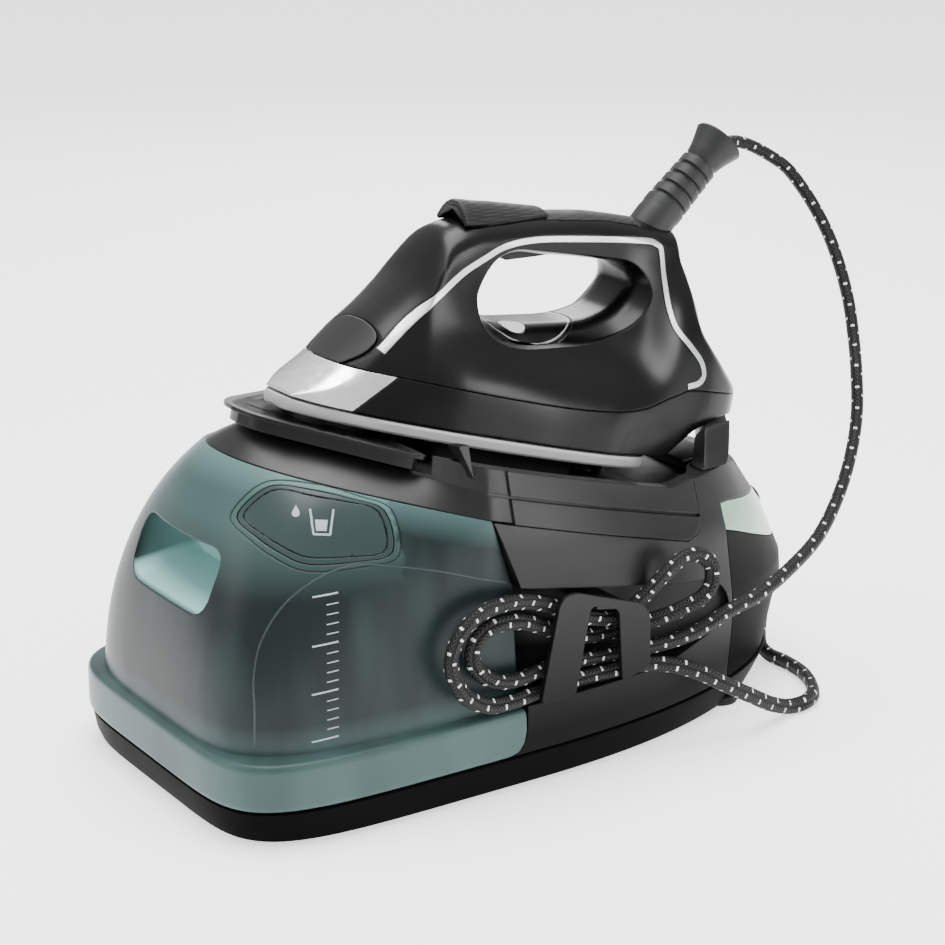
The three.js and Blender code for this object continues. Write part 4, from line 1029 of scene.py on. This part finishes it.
def tank_outer():
    skirt = [
        skirt_ring(1.4, SEAT_Z + 0.2), skirt_ring(0.4, SEAT_Z + 1.4), skirt_ring(0, SEAT_Z + 3.4),
        skirt_ring(0.1, LEDGE_Z - 4), skirt_ring(0.5, LEDGE_Z - 2), skirt_ring(1.6, LEDGE_Z - 0.6),
        skirt_ring(3.0, LEDGE_Z),
    ]
    return loft([*skirt, *tank_wall(0, np.linspace(0.0, 1, 36) ** 0.9)], "tank")


def recess_solid(deep, shrink=4.0):
    """The hand recess in the tank's front, narrowing inwards and rising towards the back."""
    top, bottom, low, high, lift = (RECESS[k] for k in ("top", "bottom", "low", "high", "lift"))

    def section(y, narrow, rise):
        floor, roof = low + rise, high - narrow + rise / 2
        base, crown = bottom - narrow, top - narrow
        corners = [(-base, floor), (base, floor), (crown, roof), (-crown, roof)]
        return [(x, y, z) for x, z in evenly(chamfered(corners, 6), 48, closed=True)]

    front = TANK_FRONT_Y + 12
    inner = section(front + deep * 0.9, shrink * 0.7, lift * 0.9)
    back = section(front + deep, shrink + 2, lift)
    return loft([section(front - 22, 0, -3), section(front, 0, 0), inner, back])


def flap_prism(grow, low, high):
    outline = []
    for u, v in rounded(LEAF, 4):
        size = math.hypot(u, v)
        outline.append((u * (1 + grow / size), v * (1 + grow / size)))
    made = prism(outline, "z", low, high)
    turn = Matrix((FLAP_U, FLAP_V, FLAP_W)).transposed().to_4x4()
    return placed(made, Matrix.Translation(FLAP_PLACE * MM) @ turn)


def sunk(obj, depth):
    return placed(copied(obj), Matrix.Translation(FLAP_W * (-depth * MM)))


def paint_light(obj, test):
    """Stores how much painted light brightens the frosted plastic at each point."""
    attribute = obj.data.attributes.new("pale", "FLOAT", "POINT")
    values = [test(*(v.co / MM)) for v in obj.data.vertices]
    attribute.data.foreach_set("value", values)


def build_tank(mats):
    outer = carve(tank_outer(), behind_tank(-0.3))
    shell = copied(outer)
    carve(shell, recess_solid(RECESS["deep"] - 2.4))
    seat = carve(flap_prism(0.6, -14, 30), sunk(outer, 3.2))
    carve(shell, seat)
    line = carve(flap_prism(4.2, -14, 30), sunk(outer, 0.5))
    carve(line, flap_prism(3.4, -16, 32))
    carve(shell, line)
    carve(shell, aimed(rod(8.4, -14, 4), (0, 1, 0), VALVE_AT))
    surface = BVHTree.FromObject(outer, bpy.context.evaluated_depsgraph_get())

    def surface_gap(x, y, z):
        point = Vector((x, y, z)) * MM
        return np.array(tuple(surface.find_nearest(point)[0] - point)) / MM

    # All painted light: the recess walls brighter, their lower part most, paler near the rim, and a painted
    # reflection high on the front.
    def pale(x, y, z):
        near_recess = abs(x) < 46 and 103 < z < 143 and -192 < y < -146
        wall = np.linalg.norm(surface_gap(x, y, z)) > 0.4 if near_recess else False
        rim = leaning(REST_DROP + 0.4)(y) - z
        if wall:
            return 1.0 if z < 119 else 0.62
        return 0.16 * max(0.0, 1 - rim / 16) + 0.12 * max(0.0, min(1.0, (z - 120) / 30)) * (y < -100)

    paint_light(shell, pale)
    piece(shell, "tank_body", mats["tank"], "water_tank", "tank_plastic", "tank_shell")
    flap = carve(keep(flap_prism(0, -14, 30), copied(outer)), sunk(outer, 2.4))
    raised = carve(keep(flap_prism(-2.6, -14, 30), copied(outer)), sunk(outer, 0.7))
    carve(flap, carve(raised, flap_prism(-3.6, -16, 32)))
    piece(flap, "fill_flap", mats["flap"], "tank_flap", "flap_plastic", "tank_flap")
    build_level_marks(surface, mats)
    build_tank_creases(surface, mats)
    build_drop_mark(surface, mats)
    bpy.data.objects.remove(outer)


# Long level marks: (height, y of the front end, y of the rear end).
LEVELS = [(123.6, -148.2, -131.7), (100.4, -152.4, -135.2), (76.8, -155.1, -137.5), (52.6, -156.7, -138.8)]
# Arched edge that shows through the tank's wall.
ARCH = [
    (98.5, -44, 114), (98, -60, 119), (94, -81, 126), (90, -104, 132), (84, -124, 135), (80, -143, 131),
    (77, -161, 120), (75, -173, 103), (76, -178, 86), (79, -180, 69), (80, -181, 50),
]


def inlay(surface, line, half, step=1.5, proud=0.1):
    """A thin band that follows a surface along a run of points."""
    run = sum(math.dist(a, b) for a, b in zip(line, line[1:]))
    points = evenly(rounded(line, 6, closed=False), max(2, int(run / step)))
    near = [surface.find_nearest(Vector(p) * MM) for p in points]
    places = np.array([tuple(hit[0]) for hit in near]) / MM
    along = np.gradient(places, axis=0)
    rings = []
    for place, hit, way in zip(places, near, along):
        normal = np.array(tuple(hit[1]))
        side = np.cross(normal, way)
        side = side / np.linalg.norm(side) * half
        top, low = place + normal * proud, place - normal * 0.25
        rings.append([top + side, top - side, low - side, low + side])
    return loft(rings, "inlay")


def build_level_marks(surface, mats):
    marks = []
    for i, (z, y0, y1) in enumerate(LEVELS):
        marks.append((z, y0, y1 - 4, 0.45))
        if i + 1 < len(LEVELS):
            z2, _, y2 = LEVELS[i + 1]
            for k in range(1, 5):
                end = y1 - 4 + (y2 - y1) * k / 5
                marks.append((z + (z2 - z) * k / 5, end - 6, end, 0.28))
    for i, (z, y0, y1, half) in enumerate(marks):
        fall = (y1 - y0) * 0.08
        starts = [(150, y0, z - fall), (150, (y0 + y1) / 2, z - fall / 2), (150, y1, z)]
        line = [tuple(surface.ray_cast(Vector(p) * MM, Vector((-1, 0, 0)))[0] / MM) for p in starts]
        piece(inlay(surface, line, half), f"level_mark_{i + 1}", mats["mark"], "water_tank", "tank_plastic")


def build_tank_creases(surface, mats):
    piece(inlay(surface, ARCH, 0.5, proud=0.12), "tank_arch", mats["crease"], "water_tank", "tank_plastic")


def build_drop_mark(surface, mats):
    """A plain water drop beside a plain open cup, as a filling sign."""

    def patch(outline, name, count=40):
        top, low = [], []
        for u, v in evenly(outline, count, closed=True):
            start = FLAP_PLACE + FLAP_U * u + FLAP_V * v + FLAP_W * 40
            hit, normal, _, _ = surface.ray_cast(start * MM, -FLAP_W)
            top.append(np.array(hit / MM) + np.array(normal) * 0.15)
            low.append(np.array(hit / MM) - np.array(normal) * 0.3)
        piece(loft([low, top]), name, mats["mark"], "tank_flap", "flap_plastic")

    def line(points, name):
        starts = [FLAP_PLACE + FLAP_U * u + FLAP_V * v for u, v in points]
        band = inlay(surface, [tuple(p) for p in starts], 0.55, 1.0, 0.15)
        piece(band, name, mats["mark"], "tank_flap", "flap_plastic")

    turn = np.linspace(math.radians(150), math.radians(390), 16)
    drop = [(2.0 * math.cos(a), 2.0 * math.sin(a)) for a in turn]
    drop.append((0, 4.6))
    patch([(u - 7, v + 4) for u, v in drop], "mark_drop")
    line([(0, 6), (1.6, -7)], "mark_cup_left")
    line([(1.6, -7), (9.6, -7)], "mark_cup_floor")
    line([(9.6, -7), (11.2, 6)], "mark_cup_right")
    patch([(3, -5.4), (2.4, 0.5), (8.8, 0.5), (8.2, -5.4)], "mark_cup_water")


# ---- iron ----------------------------------------
# Side view of the iron, top and underside: (y, z).
IRON_TOP = Table([
    (3, 9.5), (8, 14), (15, 21), (22, 28.5), (32, 41), (41, 53), (52, 66), (62, 80), (69, 96),
    (74, 105), (79, 108.5), (86, 112), (94, 115), (106, 118), (125, 122), (150, 127), (175, 130.5),
    (212, 132), (224, 131), (232, 118), (239, 101), (246, 88), (254, 80), (268, 69), (280, 60),
    (288, 52), (293, 44),
])
IRON_UNDER = Table(
    [(3, 8), (228, 8), (236, 15), (246, 24), (258, 31), (272, 35), (284, 37), (293, 41)], smooth=False
)
# Half widths of the iron at these heights: (y, half width at each height).
WIDTH_HEIGHTS = [8, 30, 60, 90, 115]
IRON_HALF = Table([
    (3, 13, 9, 7, 6, 5), (14, 26, 19, 12, 9, 8), (27, 33.5, 27, 18, 12, 10),
    (48, 41.5, 36.5, 26, 18, 14), (65, 46, 42, 32, 24, 18), (85, 50, 47, 33, 23, 20),
    (110, 52.5, 49.5, 33, 21, 19), (150, 55.5, 51, 32, 20, 18), (180, 54.5, 50.5, 32, 20, 18),
    (206, 49, 47, 36, 27, 19), (228, 45, 43.5, 39, 31, 18), (250, 42, 41.5, 37, 28, 15),
    (272, 34, 36, 31, 24, 12), (286, 20, 25, 22, 16, 8), (293, 6, 10, 9, 8, 4),
])
CROWN_R = 14  # radius over the iron's top edges
# Lines in side view, (y, z), along which the iron's shell is split or cut.
SEAM_LINE = [(-10, 28), (20, 28.7), (60, 29.2), (150, 28.3), (200, 32), (228, 42), (246, 47), (310, 47)]
CHROME_LINE = [(20, -5), (27.8, 8), (48.5, 29.5), (60, 42)]
NOSE_CAP = [
    (5, 20), (23.5, 28), (29, 32.5), (33.5, 36.8), (37, 41), (39.8, 45.4), (40.8, 50), (38, 58),
    (26, 70), (0, 60),
]
HANDLE_OPENING = [
    (101, 74), (102, 84), (107, 94), (118, 100.5), (140, 103), (170, 105.5), (190, 106),
    (198.5, 101), (199, 92), (190, 80), (170, 71), (145, 66), (120, 62.5), (106, 65),
]
TRIM_LINE = [
    (39.5, 40), (50.5, 54), (62, 67.5), (80.5, 85), (96, 96), (108.5, 104), (128, 110.3), (162, 116),
    (198, 121), (207.5, 121), (213, 117), (215.5, 101), (218, 89), (223.5, 78.5), (234.5, 70.5),
    (244.5, 63), (248, 56), (245, 51.3), (236.5, 48.4),
]
BUTTON_PLAN = [(-15, 82), (15, 82), (10.5, 136), (-10.5, 136)]
BUTTON_POCKET = [(91, 108.5), (97, 109), (132, 122.6), (135, 124), (135, 140), (91, 140)]
TRIGGER_SIDE = [(114, 100), (118, 96), (124, 97), (147, 103.6), (147, 108), (114, 108)]
MODE_PLACE, MODE_HALF, MODE_ICON = (0, 137.5), (28, 34), (12, 129)
BOOT_BASE, BOOT_AXIS, BOOT_LENGTH = (0, 217.8, 133), (0, 0.539, 0.842), 60.0
SCREW_AT, SCREW_AXIS = (0, 276, 38.5), (0, 0.35, -0.94)


def iron_ring(y, inset=0.0, levels=22):
    """Cross-section of the iron at y, with a rounded crown."""
    under, top = float(IRON_UNDER(y)[0]), float(IRON_TOP(y)[0])
    crown = min(CROWN_R, 0.5 * (top - under))
    row = Table(list(zip(WIDTH_HEIGHTS, IRON_HALF(y))))
    near = []
    for t in [*np.linspace(0, 0.8, levels), *(1 - np.geomspace(0.18, 0.004, 12))]:
        z = under + (top - under) * t
        over = max(0, (z - (top - crown)) / crown)
        near.append(((float(row(z)[0]) - inset) * math.sqrt(max(0, 1 - over * over)), y, z))
    return [*near, (0, y, top), *[(-x, y, z) for x, y, z in reversed(near)]]


def iron_solid(inset=0.0):
    stations = evenly([(y,) for y in (3, 293)], 150)[:, 0]
    return loft([iron_ring(y, inset) for y in stations], "iron")


def opening_solid():
    """The hand hole, flared towards both sides so that the grip is round."""
    line = np.array(rounded(HANDLE_OPENING, 5))
    rings = []
    for x in [-60, -40, -32, -26, -21, -17, -13, -9, 9, 13, 17, 21, 26, 32, 40, 60]:
        far = max(0.0, abs(x) - 9)
        grow = min(9.0, 0.028 * far**2)
        pts = np.array(ribbon_outward(line, grow))
        rings.append([(x, u, v) for u, v in pts])
    return loft(rings)


def ribbon_outward(line, grow):
    ahead = np.roll(line, -1, axis=0) - np.roll(line, 1, axis=0)
    ahead /= np.linalg.norm(ahead, axis=1)[:, None]
    normal = np.column_stack([ahead[:, 1], -ahead[:, 0]])
    centre = line.mean(axis=0)
    if ((line - centre) * normal).sum() < 0:
        normal = -normal
    return line + normal * grow


def oval(grow, low, high):
    across, along = MODE_HALF[0] + grow, MODE_HALF[1] + grow
    angles = np.linspace(0, 2 * math.pi, 72, endpoint=False)
    outline = [(MODE_PLACE[0] + across * math.cos(a), MODE_PLACE[1] + along * math.sin(a)) for a in angles]
    return prism(outline, "z", low, high)


def boot_solid():
    """Ribbed collar that widens towards its open end."""
    profile = [(0, -14), (11, -14), (12, 0), (11.6, 4)]
    for i in range(5):
        start, radius = 6 + i * 7.5, 12 - i * 0.3
        groove = radius - 1.8
        profile += [(radius, start), (radius, start + 4.6), (groove, start + 5.2), (groove, start + 6.8)]
    profile += [(10.2, 44), (11.0, 48), (12.6, 53), (14.4, 58)]
    profile += [(14.8, BOOT_LENGTH - 1), (14.2, BOOT_LENGTH), (0, BOOT_LENGTH)]
    return aimed(turned(profile, 64), BOOT_AXIS, BOOT_BASE)


def under_seam(grow):
    line = [(y, z + grow) for y, z in rounded(SEAM_LINE, 5, closed=False)]
    return flat([*line, (310, -20), (-10, -20)])


def ahead_of_chrome(grow):
    return flat([*[(y - grow, z) for y, z in CHROME_LINE], (-20, 60), (-20, -20)])


def grip_solid(grow, half):
    """Top of the handle, where the soft grip lies."""
    y0, y1 = 136 - grow, 198.5 + grow
    line = [(y0, 121.2 - grow), (175, 127.2 - grow), (y1, 128.2 - grow), (y1, 140), (y0, 140)]
    return flat(line, -half, half)


def hood_pocket():
    plan = []
    for x, y in BUTTON_PLAN:
        plan.append((x + math.copysign(0.5, x), y + (0.5 if y > 100 else -0.5)))
    return keep(prism(plan, "z", 80, 150), flat(BUTTON_POCKET, -60, 60))


def nose_seat(outline):
    """The nose panel's outline with a narrow joint around it, except at its front."""
    return flat([(y + (0.6 if y > 8 else 0), z + (-0.5 if z < 45 else 0.5)) for y, z in outline])


def build_iron(mats):
    whole = iron_solid()
    low = keep(copied(whole), under_seam(-0.3))
    skirt = carve(copied(low), ahead_of_chrome(-0.2))
    carve(skirt, aimed(rod(4.6, -9, 12), SCREW_AXIS, SCREW_AT))
    piece(tilted(skirt), "skirt", mats["black"], "iron", "housing_plastic", "iron_skirt")
    nose = keep(low, ahead_of_chrome(0.2))
    piece(tilted(nose), "nose_chrome", mats["chrome"], "iron", "chrome", "chrome_nose")

    body = carve(copied(whole), under_seam(0.3))
    panel_outline = chamfered(NOSE_CAP, 2)
    panel = keep(copied(body), flat(panel_outline))
    piece(tilted(panel), "nose_panel", mats["housing"], "iron", "housing_plastic", "nose_cap")
    carve(body, nose_seat(panel_outline), opening_solid(), boot_socket(), grip_solid(0.4, 13), hood_pocket())
    carve(body, slab(-8.6, 8.6, 110.5, 151, 92, 112.4))
    carve(body, oval(0.4, 54.4, 78))
    line = rounded(TRIM_LINE, 6, closed=False)
    inner = iron_solid(0.9)
    carve(body, carve(flat(ribbon(line, 1.75)), copied(inner), slab(-7, 7, -20, 320, 0, 200)))
    piece(tilted(body), "body_shell", mats["black"], "iron", "black_plastic", "iron_body")
    for name, low_x, high_x in (("trim_left", -90, -7), ("trim_right", 7, 90)):
        trim = carve(flat(ribbon(line, 1.6), low_x, high_x), copied(inner))
        trim = keep(trim, iron_solid(-0.35))
        piece(tilted(trim), name + "_line", mats["trim"], "iron", "silver_trim", name)
    bpy.data.objects.remove(inner)
    pad = keep(copied(whole), grip_solid(0, 12.6))
    piece(tilted(pad), "grip_ribbed", mats["dotted"], "iron", "rubber", "grip_pad")
    build_iron_controls(whole, mats)
    bpy.data.objects.remove(whole)


def boot_socket():
    return aimed(turned([(0, -16), (12.6, -16), (12.8, 30), (0, 30)]), BOOT_AXIS, BOOT_BASE)


def build_iron_controls(whole, mats):
    piece(tilted(hood_solid()), "hood_button", mats["dotted"], "top_button", "button_plastic", "top_button")
    trigger = softened(flat(rounded(TRIGGER_SIDE, 3), -8, 8), 1.6, 3)
    piece(tilted(trigger), "trigger", mats["button"], "steam_trigger", "button_plastic", "steam_trigger")
    build_mode_pad(whole, mats)
    piece(tilted(boot_solid()), "boot_ribbed", mats["boot"], "iron", "rubber", "hose_boot", angle=45)


def build_mode_pad(whole, mats):
    """Oval push pad in the floor of the handle opening, with a fine ring and a blank pale disc."""
    deck = carve(keep(copied(whole), slab(-60, 60, 90, 178, 40, 80)), opening_solid())
    keep(deck, oval(0, 56, 78))
    sunk_deck = moved(copied(deck), 0, 0, -1.2)
    icon = carve(keep(moved(rod(7.5, 40, 80), *MODE_ICON), copied(deck)), copied(sunk_deck))
    hole = carve(moved(rod(7.9, 40, 80), *MODE_ICON), sunk_deck)
    ring = carve(oval(-1.2, 40, 80), oval(-2.0, 38, 82))
    ring = keep(carve(ring, moved(copied(deck), 0, 0, -0.8)), copied(deck))
    carve(deck, hole)
    piece(tilted(deck), "mode_pad", mats["black"], "mode_button", "button_plastic", "mode_button")
    piece(tilted(icon), "mode_disc", mats["white"], "mode_button", "white_plastic", "mode_icon")
    piece(tilted(moved(ring, 0, 0, 0.1)), "mode_ring", mats["trim"], "mode_button", "silver_trim")


HOOD = Table([
    (82.5, 14.6, 121.2, 10.5, 2.6), (84, 15, 122, 11, 3), (95, 14.2, 123, 10, 3.2), (104, 13.3, 124.1, 8, 6),
    (118, 12, 125.4, 5.5, 5), (136, 10.5, 126.9, 3, 2.6),
])  # y: half width, crown height, fall to the sides, thickness


def hood_solid():
    """Arched hood over the handle's front end, open ahead and closing down on the grip behind."""
    across = np.linspace(-1, 1, 25)
    rings = []
    for y in np.linspace(82.5, 136, 40):
        half, crown, fall, thick = HOOD(y)
        lean = 1.5 * across**2
        drop = fall * np.abs(across) ** 2.3
        top = [(half * t, y + k, crown - d) for t, k, d in zip(across, lean, drop)]
        under = [(half * 0.9 * t, y + k, crown - thick - 0.86 * d) for t, k, d in zip(across, lean, drop)]
        rings.append([*top, *under[::-1]])
    return loft(rings, "hood")


STEAM_HOLES = [
    (-26, 60), (26, 60), (-36, 96), (36, 96), (-40, 132), (40, 132), (0, 30), (-14, 40), (14, 40),
]


def sole_outline(inset=0.0):
    """Plan of the soleplate: a pointed arch ahead and a broad curve behind."""
    half = []
    for y in (0, 0.3, 1, 2.2, 4, 6.5, 10, 14, 20, 26, 34, 44, 54, 67, 80, 96, 112, 130, 150):
        half.append((SOLE_HALF * math.sin(math.pi / 2 * y / 150) ** 0.42, y))
    for t in (0.2, 0.4, 0.55, 0.65, 0.75, 0.82, 0.88, 0.93, 0.96, 0.985, 0.995, 1):
        half.append((SOLE_HALF * (1 - t**3) ** (1 / 3), 150 + 78 * t))
    out = []
    for x, y in half:
        x = max(0.0, x - (inset if y > 2 else 0))
        y = inset if y < 2 and inset else min(y, SOLE_LENGTH - inset)
        out.append((x, y))
    return evenly(mirrored(out), 160, closed=True)


def build_sole(mats):
    edge = ((2.6, 0), (0.8, 0.5), (0, 1.6), (0, SOLE_THICK - 1.2), (0.8, SOLE_THICK))
    plate = loft([[(x, y, z) for x, y in sole_outline(inset)] for inset, z in edge])
    for x, y in STEAM_HOLES:
        hole = turned([(0, -1), (2.6, -1), (2.2, 0.8), (2.2, 9), (0, 9)], 24)
        carve(plate, moved(hole, x, y))
    piece(tilted(plate), "sole", mats["sole"], "iron", "sole_metal", "soleplate")


# ---- hose ----------------------------------------
def hose_line(per=10):
    """Evenly spaced points of the smooth route, in metres."""
    pts = np.array(HOSE, float)
    knots = [0.0]
    for a, b in zip(pts, pts[1:]):
        knots.append(knots[-1] + np.linalg.norm(b - a) ** 0.5)
    knots = np.array(knots)
    tangent = np.gradient(pts, knots, axis=0)
    out = []
    for i in range(len(pts) - 1):
        width = knots[i + 1] - knots[i]
        for k in range(per):
            ends = pts[i], pts[i + 1], width * tangent[i], width * tangent[i + 1]
            out.append(hermite(k / per, *ends))
    out.append(pts[-1])
    return evenly(out, 900) * MM


def build_hose(mats):
    line = hose_line()
    count, sides = len(line), 20
    along = np.gradient(line, axis=0)
    along /= np.linalg.norm(along, axis=1)[:, None]
    side = np.cross(along[0], (1, 0, 0))
    points, uvs, run = [], [], 0.0
    for i in range(count):
        side = side - along[i] * side.dot(along[i])
        side /= np.linalg.norm(side)
        across = np.cross(along[i], side)
        if i:
            run += float(np.linalg.norm(line[i] - line[i - 1]))
        for k in range(sides):
            angle = 2 * math.pi * k / sides
            waist = 1 - 0.07 * math.cos(angle) ** 8 - 0.1 * abs(math.sin(angle)) ** 12
            offset = side * math.cos(angle) * HOSE_THICK / 2
            offset = offset + across * math.sin(angle) * HOSE_WIDTH / 2 * 1.02
            points.append(line[i] + offset * waist * MM)
            uvs.append((run, k / sides))
    faces, face_uvs = [], []
    for i in range(count - 1):
        for k in range(sides):
            a, b = i * sides + k, i * sides + (k + 1) % sides
            faces.append((a, b, b + sides, a + sides))
            v0, v1 = k / sides, (k + 1) / sides
            u0, u1 = uvs[a][0], uvs[a + sides][0]
            face_uvs.append(((u0, v0), (u0, v1), (u1, v1), (u1, v0)))
    for start in (0, (count - 1) * sides):
        faces.append(tuple(range(start, start + sides)))
        face_uvs.append(tuple((0, 0) for _ in range(sides)))
    mesh = bpy.data.meshes.new("hose")
    mesh.from_pydata([tuple(p) for p in points], [], faces)
    layer = mesh.uv_layers.new(name="along")
    layer.data.foreach_set("uv", [c for face in face_uvs for uv in face for c in uv])
    mesh.validate()
    hose = linked("hose_braided", mesh)
    for polygon in mesh.polygons:
        polygon.use_smooth = True
    mesh.materials.append(mats["braid"])
    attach(hose, "base")
    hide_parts("steam_hose")


# ---- CAD nodes that stay as they are ----------------------------------------
KEPT = {
    "steel": [
        *[f"base_screw_{i}" for i in range(1, 5)], "boiler", "scale_collector", "thermal_cutout",
        "heel_screw",
    ],
    "cast": ["boiler_heater", "sole_heater"],
    "black": ["pump", "tank_dock", "scale_cap", "boiler_strap_front", "boiler_strap_rear"],
    "brass": ["steam_valve", "steam_pipe"],
    "board": ["control_board"],
    "white": ["tank_valve", "steam_tube"],
}


def dress_kept_nodes(mats):
    for key, names in KEPT.items():
        for name in names:
            dressed(NODES[name].data, mats[key], 35)


make_camera()
make_studio()
materials = make_materials()
build_hose(materials)
build_tray(materials)
build_feet(materials)
housing = build_housing(materials)
build_rest(housing, materials)
bpy.data.objects.remove(housing)
build_lip(materials)
build_hoop(materials)
build_clip(materials)
build_pads(materials)
build_saddle(materials)
build_rear_buttons(materials)
build_gland(materials)
build_tank(materials)
build_iron(materials)
build_sole(materials)
dress_kept_nodes(materials)
